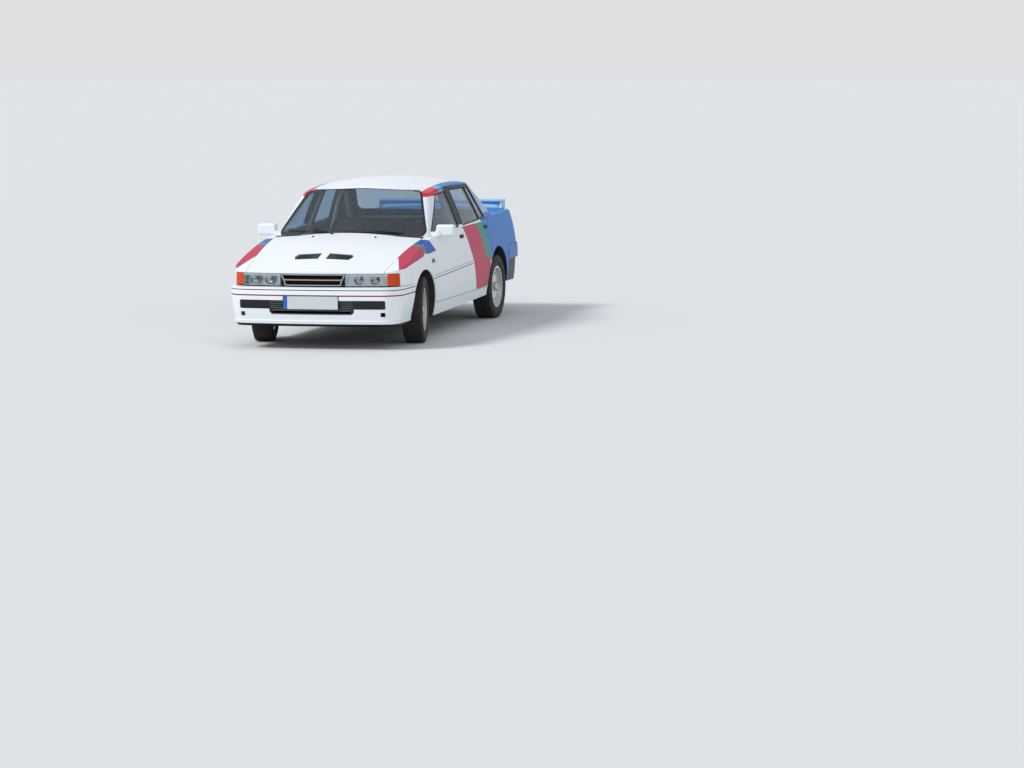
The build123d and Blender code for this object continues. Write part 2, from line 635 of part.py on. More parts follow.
UNDER_BONNET = envelope(BONNET_T, BONNET_T, BONNET_T)
vent_recess = both_sides(plan_prism(VENT, 8, 700, BODY_TOP_Z)) - UNDER_SKIN
bonnet = (OUTSIDE & bonnet_edge(0)) - [UNDER_BONNET, cabin_only, vent_recess]

arch_cut = arch_disc(True, FRONT_ARCH_R, 60, 1000)
lamp_band = block(-900, 900, NOSE_Y - 50, INDICATOR_END_Y + NOSE_GAP, BODY_BOTTOM_Z, LAMP_TOP_Z + NOSE_GAP)
front_bumper_band = block(-900, 900, NOSE_Y - 50, FRONT_BUMPER_END_Y + NOSE_GAP, BODY_BOTTOM_Z,
                          FRONT_BUMPER_TOP_Z + NOSE_GAP)
fender_region = side_prism([(NOSE_Y - 20, 500), (NOSE_Y - 20, BODY_TOP_Z), (FENDER_END_Y, BODY_TOP_Z),
                            (FENDER_END_Y, SILL_BOTTOM_FRONT_Z), (FRONT_AXLE_Y, SILL_BOTTOM_FRONT_Z)], 1)
fender = (OUTSIDE & fender_region) - [
    UNDER_SKIN, arch_cut, lamp_band, front_bumper_band, bonnet_edge(FENDER_GAP),
    block(0, BONNET_HALF_REAR + SEAT_GAP, SCUTTLE_Y - 100, BONNET_REAR_Y + 200, 800, BODY_TOP_Z),
    block(0, BONNET_HALF_FRONT, NOSE_Y - 50, SCUTTLE_Y, 600, BODY_TOP_Z)]

def nose_prism(inset, half_width, rear_y, low_z):
    """The front of the body's plan, set inwards, as an upright prism up to the lamps' lower half."""
    outline = plan_wire(0, HALF_WIDTH, SIDE_R, SIDE_MID_Y, (NOSE_Y, NOSE_R, FRONT_CORNER_R),
                        (TAIL_Y, TAIL_R, REAR_CORNER_R), inset)
    prism = extrude(Pos(0, 0, low_z) * make_face(outline), amount=NOSE_PANEL_TOP_Z - low_z, dir=(0, 0, 1))
    return prism & block(-half_width, half_width, NOSE_Y, rear_y, low_z, NOSE_PANEL_TOP_Z)


nose_panel = nose_prism(DOOR_T + LAMP_BULGE, APRON_X, -2060, 330) - nose_prism(HINGE_SWING, 900, -1900, 330)
nose_wings = nose_prism(DOOR_T + LAMP_BULGE, 720, -2020, 470) - nose_prism(HINGE_SWING, 900, -1900, 470)
apron = block(APRON_X - HOUSE_T, APRON_X, -2098, BULKHEAD_Y - BULKHEAD_T, HOUSE_LOW_Z, 800) & UNDER_BONNET
tower_space = Pos(STRUT_X, FRONT_AXLE_Y, STRUT_TOP_Z / 2) * Cylinder(TOWER_R - 12, STRUT_TOP_Z)
strut_tower = Pos(STRUT_X, FRONT_AXLE_Y, STRUT_TOP_Z - 50) * Cylinder(TOWER_R, 124)
bulkhead = PILLAR_INNER & block(-900, 900, BULKHEAD_Y - BULKHEAD_T, BULKHEAD_Y, FLOOR_Z, 940)
scuttle = (WALL_LAYER & block(-BONNET_HALF_REAR, BONNET_HALF_REAR, SCUTTLE_Y + FENDER_GAP, BODY_FRONT_Y - SEAT_GAP,
                                880, 1060)) - screen_hole
front_structure = nose_panel + nose_wings + both_sides(apron) + bulkhead
front_structure -= both_sides(arch_disc(True, FRONT_ARCH_R + HOUSE_GAP, APRON_X, 900))
front_structure += both_sides(wheelhouse(True, APRON_X))
bulkhead_top = INNER_WALL & block(-630, 630, BULKHEAD_Y - BULKHEAD_T, BULKHEAD_Y, 860, 960)
front_structure += both_sides(strut_tower) + bulkhead_top + scuttle
front_wheel_space = arch_disc(True, FRONT_ARCH_R + HOUSE_GAP, APRON_X, 900)
front_structure -= both_sides(tower_space)

for bracket_x in (-380, 320):
    bracket = block(bracket_x, bracket_x + 60, NOSE_Y - 80, -2110, 470, 530)
    front_structure += bracket & bumper_block(400, 560, BUMPER_T + SEAT_GAP)

bumper_shell = bumper_block(FRONT_BUMPER_LOW_Z, FRONT_BUMPER_TOP_Z, 0)
bumper_shell -= bumper_block(FRONT_BUMPER_LOW_Z + BUMPER_T, FRONT_BUMPER_TOP_Z - BUMPER_T, BUMPER_T)
bumper_shell -= bumper_block(FRONT_BUMPER_LOW_Z - 5, FRONT_BUMPER_TOP_Z + 5, BUMPER_DEPTH)
front_bumper = bumper_shell & block(-900, 900, -2400, FRONT_BUMPER_END_Y, 200, 600)
front_bumper -= both_sides(arch_disc(True, FRONT_ARCH_R + 8, 500, 1000))
crease_layer = block(-900, 900, -2400, FRONT_BUMPER_END_Y, CREASE_Z, CREASE_Z + CREASE_H)
crease_layer -= bumper_block(FRONT_BUMPER_LOW_Z, FRONT_BUMPER_TOP_Z, CREASE_DEPTH)
front_bumper -= [crease_layer, front_prism(BUMPER_MOUTH, MOUTH_RADII, -2400, -2150),
                 both_sides(front_prism(FOG_HOLE, 6, -2400, -2050))]


# Lamps, grille and the black pieces of the front bumper

grille_block = WALL_LAYER & block(-GRILLE_HALF_W, GRILLE_HALF_W, NOSE_Y - 20, -2080, LAMP_LOW_Z, LAMP_TOP_Z)
grille = grille_block
for low, high in ((602, 636), (648, 682)):
    grille -= front_prism([(-GRILLE_HALF_W + 14, low), (-GRILLE_HALF_W + 14, high), (GRILLE_HALF_W - 14, high),
                           (GRILLE_HALF_W - 14, low)], 6, NOSE_Y - 20, -2080)
lamp_block = WALL_LAYER & block(GRILLE_HALF_W + SEAT_GAP, HEADLAMP_END_X, NOSE_Y - 20, -2000, LAMP_LOW_Z, LAMP_TOP_Z)
lens = lamp_block - lower_block(LENS_T)
bowl = block(GRILLE_HALF_W + LAMP_WALL, HEADLAMP_END_X - LAMP_WALL, NOSE_Y - 20, -2000, LAMP_LOW_Z + LAMP_WALL,
             LAMP_TOP_Z - 3 * LAMP_WALL) - lower_block(LAMP_BOWL_DEPTH)
headlamp = (lamp_block & lower_block(LENS_T + SEAT_GAP)) - bowl
indicator = WALL_LAYER & block(HEADLAMP_END_X + SEAT_GAP, 900, NOSE_Y - 20, INDICATOR_END_Y, LAMP_LOW_Z, LAMP_TOP_Z)

mouth_layer = bumper_block(FRONT_BUMPER_LOW_Z, FRONT_BUMPER_TOP_Z, GRILLE_SINK)
mouth_layer -= bumper_block(FRONT_BUMPER_LOW_Z, FRONT_BUMPER_TOP_Z, GRILLE_DEPTH)
bumper_grille = mouth_layer & front_prism([(x - (SEAT_GAP if x > 0 else -SEAT_GAP), z + (SEAT_GAP if z < 400 else -SEAT_GAP))
                                           for x, z in BUMPER_MOUTH], MOUTH_RADII, -2400, -2150)
bumper_grille -= [block(-half, half, -2400, -2150, low, high) for low, high, half in MOUTH_SLOTS]

# Tail

rear_shell = bumper_block(REAR_BUMPER_LOW_Z, REAR_BUMPER_TOP_Z, 0, REAR_BUMPER_WAIST_Z)
rear_shell -= bumper_block(REAR_BUMPER_LOW_Z + BUMPER_T, REAR_BUMPER_TOP_Z - BUMPER_T, BUMPER_T, REAR_BUMPER_WAIST_Z)
rear_shell -= bumper_block(REAR_BUMPER_LOW_Z - 5, REAR_BUMPER_TOP_Z + 5, BUMPER_DEPTH, REAR_BUMPER_WAIST_Z)
rear_bumper = rear_shell & block(-900, 900, REAR_BUMPER_END_Y, 2400, 200, 700)
rear_bumper -= [both_sides(arch_disc(False, REAR_ARCH_R + 8, 500, 1000)), UNDER_SKIN]

rear_panel = WALL_LAYER & block(-REAR_PANEL_HALF_W + SEAT_GAP, REAR_PANEL_HALF_W - SEAT_GAP, TAIL_Y - DOOR_T - 40,
                                TAIL_Y + 50, VALANCE_LOW_Z, BOOT_LIP_Z - SHUT_GAP - SEAT_GAP)
rear_bumper -= rear_panel
tail_lamp = WALL_LAYER & block(TAIL_LAMP_IN_X, 900, TAIL_LAMP_END_Y, TAIL_Y + 20, TAIL_LAMP_LOW_Z, TAIL_LAMP_TOP_Z)
boot_skin = (OUTSIDE & front_prism(inset_outline(BOOT_LID_VIEW, SHUT_GAP), BOOT_LID_RADII, BOOT_FRONT_Y + SHUT_GAP,
                                   TAIL_Y + 50)) - UNDER_BONNET
blade = Pos(0, SPOILER_Y, SPOILER_Z) * Box(2 * SPOILER_HALF_W, SPOILER_CHORD, SPOILER_T)
blade = fillet(blade.edges().filter_by(Axis.X), SPOILER_T * 0.45)
feet = [block(x - 30, x + 30, SPOILER_Y - 25, SPOILER_Y + 25, 900, SPOILER_Z) for x in (-440, 440)]
boot_front = Pos(0, BOOT_PIVOT_Y, BOOT_PIVOT_Z) * Rot(0, 90, 0) * Cylinder(BOOT_NOSE_R, 2 * BOOT_HALF_W)
boot_skin &= boot_front + block(-BOOT_HALF_W, BOOT_HALF_W, BOOT_PIVOT_Y, TAIL_Y + 50, BOOT_LIP_Z, 1150)
boot_lid = boot_skin + blade + (feet[0] - UNDER_BONNET) + (feet[1] - UNDER_BONNET)
rear_shelf = (WALL_LAYER & deck_hole) - back_hole
rear_shelf &= block(-DECK_HALF_W + SEAT_GAP, DECK_HALF_W - SEAT_GAP, 1000, BOOT_FRONT_Y - 3, 900, 1080)
rear_shelf += block(-DECK_HALF_W + SEAT_GAP, DECK_HALF_W - SEAT_GAP, REAR_BULKHEAD_Y, BOOT_FRONT_Y - 3, SHELF_Z, SHELF_Z + 12)

# Boot hinges: a pin on each side of the shelf, and an eye under the lid

pin = Pos(475, BOOT_PIVOT_Y, BOOT_PIVOT_Z) * Rot(0, 90, 0) * Cylinder(PIN_R, 50)
bracket_z = BOOT_PIVOT_Z - BOOT_NOSE_R - 3 * SHUT_GAP
pin_plate = block(490, 500, BOOT_PIVOT_Y - PIN_R, BOOT_PIVOT_Y + PIN_R, bracket_z, BOOT_PIVOT_Z + PIN_R)
pin_plate += block(490, 500, BOOT_FRONT_Y - 60, BOOT_PIVOT_Y + PIN_R, bracket_z, bracket_z + 10)
pin_plate += block(490, 500, BOOT_FRONT_Y - 60, BOOT_FRONT_Y - 40, bracket_z, SHELF_Z + 6)
rear_shelf -= boot_turn
rear_shelf += both_sides(pin + pin_plate)
eye = Pos(466, BOOT_PIVOT_Y, BOOT_PIVOT_Z) * Rot(0, 90, 0) * Cylinder(PIN_R * 2, 28)
eye += block(452, 480, BOOT_PIVOT_Y + 2, BOOT_PIVOT_Y + 40, BOOT_PIVOT_Z - 10, 1050) & UNDER_BONNET
eye -= Pos(466, BOOT_PIVOT_Y, BOOT_PIVOT_Z) * Rot(0, 90, 0) * Cylinder(PIN_R + BEARING_GAP, 60)
boot_lid += both_sides(eye)

# Floor

floor = PILLAR_INNER & block(-900, 900, BULKHEAD_Y, HEEL_Y + FLOOR_T, FLOOR_Z, FLOOR_Z + FLOOR_T)
heel = PILLAR_INNER & block(-900, 900, HEEL_Y, HEEL_Y + FLOOR_T, FLOOR_Z, BOOT_FLOOR_Z)
tunnel = block(-TUNNEL_HALF_W, TUNNEL_HALF_W, BULKHEAD_Y, HEEL_Y + FLOOR_T, FLOOR_Z, TUNNEL_Z)
tunnel_space = block(-TUNNEL_HALF_W + FLOOR_T, TUNNEL_HALF_W - FLOOR_T, BULKHEAD_Y - 50, HEEL_Y + 50, FLOOR_Z - 50,
                     TUNNEL_Z - FLOOR_T)
rear_floor = INNER_WALL & block(-900, 900, HEEL_Y, TAIL_Y - DOOR_T, BOOT_FLOOR_Z, BOOT_FLOOR_Z + FLOOR_T)
rear_bulkhead = INNER_WALL & block(-900, 900, REAR_BULKHEAD_Y, REAR_BULKHEAD_Y + BULKHEAD_T, BOOT_FLOOR_Z, SHELF_Z)
floor_pan = (floor + heel + tunnel + rear_floor + rear_bulkhead) - tunnel_space
floor_pan -= both_sides(arch_disc(False, REAR_ARCH_R + HOUSE_GAP, REAR_HOUSE_X, 900))
floor_pan += both_sides(wheelhouse(False, REAR_HOUSE_X) - side_wall)
floor_pan -= both_sides(sill) + both_sides(front_wheel_space)
floor_pan -= front_structure
front_structure -= tunnel_space

# Glass

windscreen = screen_pane(WINDSCREEN, WINDSCREEN_RADII, FRONT_SCREEN_SPAN)
rear_window = screen_pane(BACK_WINDOW, BACK_WINDOW_RADII, BACK_SCREEN_SPAN)
front_glass = side_pane(FRONT_WINDOW, FRONT_WINDOW_RADII)
rear_glass = side_pane(REAR_WINDOW, REAR_WINDOW_RADII) + side_pane(QUARTER_WINDOW, QUARTER_WINDOW_RADII)
front_door = door(FRONT_DOOR, FRONT_DOOR_RADII, [(FRONT_WINDOW, FRONT_WINDOW_RADII)], False)
rear_door = door(REAR_DOOR, REAR_DOOR_RADII,
                 [(REAR_WINDOW, REAR_WINDOW_RADII), (QUARTER_WINDOW, QUARTER_WINDOW_RADII)], True)

# Wheels: each rim is a barrel with a drilled disc and a hub, and the tyre sits on it

def wheel_section(points):
    """A half section, (distance along the axle, radius), turned about the axle."""
    face = make_face(Polyline(*[(x, 0, r) for x, r in points], close=True))
    return revolve(face, axis=Axis.X)


def tyre_shape():
    half = TYRE_W / 2
    bead = RIM_W / 2 - 8 - SEAT_GAP
    one_side = [(bead, BEAD_R + SEAT_GAP), (bead, BEAD_R + 13), (half - 8, BEAD_R + 16), (half, BEAD_R + 62),
                (half - 8, TYRE_R - 22), (half - 24, TYRE_R - 3), (half - 40, TYRE_R)]
    section = one_side + [(-x, r) for x, r in reversed(one_side)]
    return wheel_section(section)


def rim_shape():
    half = RIM_W / 2
    barrel = wheel_section([(-half + 8, BEAD_R), (-half + 8, BEAD_R + 12), (-half, BEAD_R + 12), (-half, BEAD_R - 8),
                            (half, BEAD_R - 8), (half, BEAD_R + 12), (half - 8, BEAD_R + 12), (half - 8, BEAD_R)])
    disc = Pos(DISC_X, 0, 0) * Rot(0, 90, 0) * Cylinder(BEAD_R - 7, DISC_T)
    hub = Pos(DISC_X - DISC_T, 0, 0) * Rot(0, 90, 0) * Cylinder(HUB_R, DISC_T * 2)
    shape = barrel + disc + hub
    shape -= Pos(DISC_X - 60, 0, 0) * Rot(0, 90, 0) * Cylinder(STUB_R + BEARING_GAP, 110)
    for index in range(RIM_HOLES):
        angle = 360 / RIM_HOLES * index
        shape -= Rot(angle, 0, 0) * Pos(DISC_X, 0, RIM_HOLE_CIRCLE_R) * Rot(0, 90, 0) * Cylinder(RIM_HOLE_R, DISC_T * 2)
    return shape


KINGPIN_X = FRONT_TRACK / 2 - KINGPIN_INSET


def knuckle_shape():
    """The left steering knuckle about its wheel centre: kingpin, carrier and stub axle."""
    pin = Pos(-KINGPIN_INSET, 0, (KINGPIN_LOW_Z + KINGPIN_HIGH_Z) / 2 - TYRE_R) * Cylinder(
        KINGPIN_R, KINGPIN_HIGH_Z - KINGPIN_LOW_Z - 60)
    ends = [Pos(-KINGPIN_INSET, 0, z - TYRE_R) * Cylinder(KINGPIN_R * 0.6, 60) for z in (KINGPIN_LOW_Z, KINGPIN_HIGH_Z)]
    carrier = Pos(-KINGPIN_INSET + 12, 0, 0) * Box(56, 70, 120)
    reach = KINGPIN_INSET + DISC_X - DISC_T * 2 + 40
    stub = Pos(-KINGPIN_INSET + reach / 2, 0, 0) * Rot(0, 90, 0) * Cylinder(STUB_R, reach)
    arm = Pos(-KINGPIN_INSET, 60, 10) * Box(24, 120, 18)
    return pin + ends[0] + ends[1] + carrier + stub + arm


def placed(shape, front, left, steered):
    """A piece drawn about the left wheel centre, taken to its own wheel."""
    x, y, z = wheel_place(front)
    if not left:
        shape = mirror(shape, about=Plane.YZ)
    side = 1 if left else -1
    if not steered:
        return Pos(side * x, y, z) * shape
    pivot = side * KINGPIN_X
    return Pos(pivot, y, z) * Rot(0, 0, STEER_PARKED) * Pos(side * x - pivot, 0, 0) * shape


# Suspension

lower_arm = block(330, KINGPIN_X + 30, FRONT_AXLE_Y - 22, FRONT_AXLE_Y + 22, KINGPIN_LOW_Z - 12, KINGPIN_LOW_Z + 6)
lower_arm += Pos(KINGPIN_X, FRONT_AXLE_Y, KINGPIN_LOW_Z - 3) * Cylinder(34, 18)
lower_arm -= Pos(KINGPIN_X, FRONT_AXLE_Y, KINGPIN_LOW_Z) * Cylinder(KINGPIN_R * 0.6 + SEAT_GAP, 60)
foot = block(STRUT_X - 24, KINGPIN_X, FRONT_AXLE_Y - 20, FRONT_AXLE_Y + 20, KINGPIN_HIGH_Z - 4, KINGPIN_HIGH_Z + 14)
foot += Pos(KINGPIN_X, FRONT_AXLE_Y, KINGPIN_HIGH_Z + 5) * Cylinder(30, 18)
foot -= Pos(KINGPIN_X, FRONT_AXLE_Y, KINGPIN_HIGH_Z) * Cylinder(KINGPIN_R * 0.6 + SEAT_GAP, 60)
strut = Pos(STRUT_X, FRONT_AXLE_Y, (KINGPIN_HIGH_Z + STRUT_TOP_Z) / 2) * Cylinder(
    STRUT_R, STRUT_TOP_Z - KINGPIN_HIGH_Z)
subframe = block(-345, 345, FRONT_AXLE_Y - 60, FRONT_AXLE_Y + 60, 190, 235)
rails = block(345, APRON_X - HOUSE_T, FRONT_AXLE_Y - 60, FRONT_AXLE_Y + 60, 190, HOUSE_LOW_Z + 40)
front_suspension = subframe + both_sides(rails + lower_arm + foot + strut)

rear_x, rear_y, _ = wheel_place(False)
rear_stub = Pos(rear_x - 20, rear_y, TYRE_R) * Rot(0, 90, 0) * Cylinder(STUB_R, 80)
rear_carrier = Pos(rear_x - 76, rear_y, TYRE_R) * Box(66, 90, 130)
trailing_arm = block(rear_x - 135, rear_x - 105, HEEL_Y + FLOOR_T + SEAT_GAP, rear_y + 20, 262, 312)
rear_beam = block(-rear_x + 105, rear_x - 105, rear_y - 30, rear_y + 30, 258, 300)
rear_strut = Pos(rear_x - 132, rear_y, 500) * Cylinder(STRUT_R, 436)
rear_suspension = both_sides(rear_stub + rear_carrier + trailing_arm + rear_strut) + rear_beam

# Engine, exhaust and driveline

engine_block = block(-300, 290, -1760, -1300, 330, 760) + block(-150, 200, -1620, -1300, 240, 330)
mounts = block(290, APRON_X - HOUSE_T, -1570, -1500, 420, 470) + block(-APRON_X + HOUSE_T, -300, -1570, -1500, 420, 470)
engine_block += mounts
exhaust = block(202, 258, -1290, 1640, 160, 200) + block(180, 500, 1630, 1830, 150, 300)
for hanger_y in (-900, -100, 700):
    exhaust += block(222, 238, hanger_y, hanger_y + 40, 190, FLOOR_Z)
exhaust += block(330, 350, 1700, 1760, 290, BOOT_FLOOR_Z)
driveline = Pos(0, (rear_y - 30 - 1300) / 2, 276) * Rot(90, 0, 0) * Cylinder(34, rear_y - 30 + 1300 - 2 * SEAT_GAP)

# Inside the cabin

dashboard = PILLAR_INNER & block(-900, 900, BULKHEAD_Y, -690, 700, 900)
seat_base = block(125, 615, -360, 130, 300, 420)
seat_back = Pos(370, 125, 690) * Rot(-15, 0, 0) * Box(490, 110, 720)
seat = seat_base + seat_back + block(200, 540, -280, 90, FLOOR_Z + FLOOR_T, 300)
front_seats = both_sides(seat)
wheel_centre = Pos(370, -560, 790) * Rot(-65, 0, 0)
steering_wheel = wheel_centre * (Torus(175, 14) + Box(330, 40, 12) + Cylinder(40, 20) + Pos(0, 0, -75) * Cylinder(20, 150))
steering_wheel -= dashboard


def tube(points, radius, corner):
    """A bent tube along its points."""
    path = FilletPolyline(*points, radius=corner) if len(points) > 2 else Line(*points)
    end = path @ 0
    profile = Plane(origin=end, z_dir=path % 0) * Circle(radius)
    return sweep(profile, path=path)


floor_top = FLOOR_Z + FLOOR_T
rear_top = BOOT_FLOOR_Z + FLOOR_T
hoop = tube([(-610, HOOP_Y, floor_top), (-610, HOOP_Y, 900), (-490, HOOP_Y, HOOP_TOP_Z), (490, HOOP_Y, HOOP_TOP_Z),
             (610, HOOP_Y, 900), (610, HOOP_Y, floor_top)], CAGE_R, 90)
stay = tube([(470, HOOP_Y, HOOP_TOP_Z - 8), (500, REAR_BULKHEAD_Y - 60, rear_top + 2)], CAGE_R, 0)
stay -= block(0, 900, 0, 1200, 0, rear_top)
roll_cage = hoop + both_sides(stay)

# Pieces on the outside

mirror_shell = Pos(878, -820, 1004) * Box(174, 90, 110)
mirror_shell = fillet(mirror_shell.edges(), 22)
mirror_foot = block(740, 800, -878, -825, 950, 992) + block(790, 830, -878, -800, 960, 1010)
door_mirror = (mirror_shell + mirror_foot) - OUTSIDE
wiper_layer = glasshouse(-12) - glasshouse(-SEAT_GAP)
wipers = Compound([wiper_layer & front_prism([(-640, 1003), (-640, 1015), (-90, 1001), (-90, 989)], 3, -1250, -900),
                   wiper_layer & front_prism([(-40, 1003), (-40, 1015), (520, 1001), (520, 989)], 3, -1250, -900)])
plate_front = block(-260, 260, BUMPER_NOSE_Y, BUMPER_NOSE_Y + 5 - SEAT_GAP, 380, 498)
front_bumper -= block(-270, 270, BUMPER_NOSE_Y - 9, BUMPER_NOSE_Y + 5, 370, 508)
plate_rear = block(-260, 260, 2172 + SEAT_GAP, 2178, 742, 852)
boot_lid -= block(-266, 266, 2172, 2300, 736, 858)

# Out to files: paired pieces come from the left one

pieces = {
    "floor_pan": floor_pan, "front_structure": front_structure, "roof": roof, "rear_panel": rear_panel,
    "rear_shelf": rear_shelf, "front_bumper": front_bumper, "bumper_grille": bumper_grille,
    "rear_bumper": rear_bumper, "grille": grille, "headlamps": both_sides(headlamp), "headlamp_lenses": both_sides(lens),
    "indicators": both_sides(indicator), "tail_lamps": both_sides(tail_lamp), "windscreen": windscreen,
    "rear_window": rear_window, "wipers": wipers, "plate_front": plate_front, "plate_rear": plate_rear,
    "dashboard": dashboard, "front_seats": front_seats, "steering_wheel": steering_wheel, "roll_cage": roll_cage,
    "engine_block": engine_block, "exhaust": exhaust, "driveline": driveline,
    "front_suspension": front_suspension, "rear_suspension": rear_suspension, "bonnet": bonnet, "boot_lid": boot_lid,
}
for name, shape in (("body_side", body_side), ("fender", fender), ("door_front", front_door), ("door_rear", rear_door),
                    ("glass_front", front_glass), ("glass_rear", rear_glass), ("mirror", door_mirror)):
    pieces[name + "_left"] = shape
    pieces[name + "_right"] = mirror(shape, about=Plane.YZ)
tyre = tyre_shape()
rim = rim_shape()
knuckle = knuckle_shape()
for front, row in ((True, "front"), (False, "rear")):
    for left, side in ((True, "left"), (False, "right")):
        pieces["tyre_" + row + "_" + side] = placed(tyre, front, left, front)
        pieces["rim_" + row + "_" + side] = placed(rim, front, left, front)
        if front:
            pieces["knuckle_" + side] = placed(knuckle, front, left, True)

os.makedirs("parts", exist_ok=True)
for name, shape in pieces.items():
    export_step(shape, "parts/" + name + ".step")
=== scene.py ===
# Rally car: the looks of a white four-door saloon in a red, green and blue livery.
# Metres, in the frame of the model: the front is -Y, the car's left is +X, Z is up.
import json
import math

import bmesh
import bpy
from mathutils import Matrix, Vector
from mathutils.bvhtree import BVHTree

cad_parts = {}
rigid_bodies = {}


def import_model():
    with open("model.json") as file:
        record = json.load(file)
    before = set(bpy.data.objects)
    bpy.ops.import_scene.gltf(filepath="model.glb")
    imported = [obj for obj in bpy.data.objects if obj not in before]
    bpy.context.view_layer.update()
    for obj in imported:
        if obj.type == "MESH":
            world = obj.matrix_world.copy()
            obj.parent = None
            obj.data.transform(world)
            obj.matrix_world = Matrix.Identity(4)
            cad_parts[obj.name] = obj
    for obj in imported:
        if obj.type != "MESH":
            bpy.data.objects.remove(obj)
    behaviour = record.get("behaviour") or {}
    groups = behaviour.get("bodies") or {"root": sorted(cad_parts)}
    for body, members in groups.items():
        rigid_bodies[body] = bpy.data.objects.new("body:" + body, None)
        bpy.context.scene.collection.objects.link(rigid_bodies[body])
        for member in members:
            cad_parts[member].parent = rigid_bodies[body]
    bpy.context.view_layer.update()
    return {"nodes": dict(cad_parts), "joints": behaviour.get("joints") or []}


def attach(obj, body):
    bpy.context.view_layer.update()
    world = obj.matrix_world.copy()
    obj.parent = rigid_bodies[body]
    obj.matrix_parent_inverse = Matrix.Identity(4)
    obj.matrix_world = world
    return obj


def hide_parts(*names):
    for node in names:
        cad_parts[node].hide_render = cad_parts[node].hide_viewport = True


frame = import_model()
MM = 0.001
SIDES = (("left", 1), ("right", -1))


def placed(name, data):
    """A new object in the scene."""
    obj = bpy.data.objects.new(name, data)
    bpy.context.scene.collection.objects.link(obj)
    return obj


# Camera, where the photograph was taken from

CAMERA_PLACE = (12.7545, -42.4069, 4.0698)
CAMERA_YAW = 15.14
CAMERA_PITCH = 5.967
CAMERA_ROLL = -0.642
CAMERA_LENS = 162.48

camera_data = bpy.data.cameras.new("camera")
camera_data.lens = CAMERA_LENS
camera_data.sensor_width = 36
camera_data.clip_end = 200
camera = placed("camera", camera_data)
turn = Matrix.Rotation(math.radians(CAMERA_YAW), 4, "Z")
tip = Matrix.Rotation(math.radians(90 - CAMERA_PITCH), 4, "X")
lean = Matrix.Rotation(math.radians(CAMERA_ROLL), 4, "Z")
camera.matrix_world = Matrix.Translation(CAMERA_PLACE) @ turn @ tip @ lean
bpy.context.scene.camera = camera


# Node trees

def linear(code):
    """An sRGB hex colour as linear light."""
    channels = [int(code[i:i + 2], 16) / 255 for i in (1, 3, 5)]
    return [c / 12.92 if c <= 0.04045 else ((c + 0.055) / 1.055) ** 2.4 for c in channels] + [1]


def add(tree, kind, inputs=None, **settings):
    """Add a node with its settings; inputs maps a socket's name or number to a value or to another socket."""
    node = tree.nodes.new(kind)
    for name, value in settings.items():
        setattr(node, name, value)
    for key, value in (inputs or {}).items():
        if isinstance(value, bpy.types.NodeSocket):
            tree.links.new(value, node.inputs[key])
        else:
            node.inputs[key].default_value = value
    return node


def finish_of(name, colour, roughness, metallic=0.0, **sockets):
    """A material with its main surface shader; returns the material, its tree and the shader."""
    material = bpy.data.materials.new(name)
    material.use_nodes = True
    tree = material.node_tree
    shader = tree.nodes["Principled BSDF"]
    shader.inputs["Base Color"].default_value = linear(colour)
    shader.inputs["Roughness"].default_value = roughness
    shader.inputs["Metallic"].default_value = metallic
    for key, value in sockets.items():
        shader.inputs[key.replace("_", " ")].default_value = value
    return material, tree, shader


def grain(tree, shader, size_mm, height_mm, detail=4.0):
    """A fine uneven surface: bumps size_mm apart and height_mm high."""
    place = add(tree, "ShaderNodeTexCoord")
    noise = add(tree, "ShaderNodeTexNoise", {"Vector": place.outputs["Object"], "Scale": 1 / (size_mm * MM),
                                             "Detail": detail})
    bump = add(tree, "ShaderNodeBump", {"Height": noise.outputs["Fac"], "Strength": 1.0, "Distance": height_mm * MM})
    tree.links.new(bump.outputs["Normal"], shader.inputs["Normal"])


def uneven_colour(tree, shader, first, second, size_mm, sharp):
    """The shader's colour drifts between two tones in patches about size_mm across."""
    place = add(tree, "ShaderNodeTexCoord")
    noise = add(tree, "ShaderNodeTexNoise", {"Vector": place.outputs["Object"], "Scale": 1 / (size_mm * MM),
                                             "Detail": 5.0, "Roughness": 0.6})
    ramp = add(tree, "ShaderNodeMapRange", {"Value": noise.outputs["Fac"], 1: 0.5 - sharp / 2, 2: 0.5 + sharp / 2})
    mix = add(tree, "ShaderNodeMix", {0: ramp.outputs["Result"], 6: linear(first), 7: linear(second)}, data_type="RGBA")
    tree.links.new(mix.outputs[2], shader.inputs["Base Color"])


# Livery: flat colours bounded by straight edges, the same on both sides of the car. Two of the patches are painted
# light: shade in the front bumper's groove and a highlight on the spoiler.

WHITE = "#EDF0F3"
RED = "#BE264E"
CANT_RED = "#DC2840"
GREEN = "#2B8E78"
BLUE = "#0A52B2"
SKY = "#2077C4"
CYAN = "#58B4DC"
LAVENDER = "#A9BCE2"
DUSK_BLUE = "#3A72B8"
LINE_RED = "#8A1E3C"
# Painted shade: the dark grey laid in the groove along the front bumper
GROOVE_SHADE_GREY = "#3C424E"
# A painted highlight: the spoiler's blue, lightened for the light that falls on its top
SPOILER_HIGHLIGHT_PALE = "#93C4E8"
BLACK = "#0C0D10"


def outline_edges(points):
    """Edges of a convex side view outline of (y, z) corners in millimetres, each as a half space."""
    pairs = list(zip(points, points[1:] + points[:1]))
    turn_sign = 1 if sum(y0 * z1 - y1 * z0 for (y0, z0), (y1, z1) in pairs) > 0 else -1
    edges = []
    for (y0, z0), (y1, z1) in pairs:
        length = math.hypot(y1 - y0, z1 - z0)
        ny, nz = -turn_sign * (z1 - z0) / length, turn_sign * (y1 - y0) / length
        edges.append(((0, ny, nz), (ny * y0 + nz * z0) * MM))
    return edges


FENDER_FRONT_EDGE = ((0.9545, 0.2983, 0), 0.1307)
BONNET_SHUT_LINE = ((0.9984, -0.0563, 0), 0.7842)
OUTER_ROOF = [((1, 0, 0), 0.548), ((0, 0, 1), 1.30)]


def box(y0, y1, z0, z1):
    """The corners of a rectangle."""
    return [(y0, z0), (y1, z0), (y1, z1), (y0, z1)]


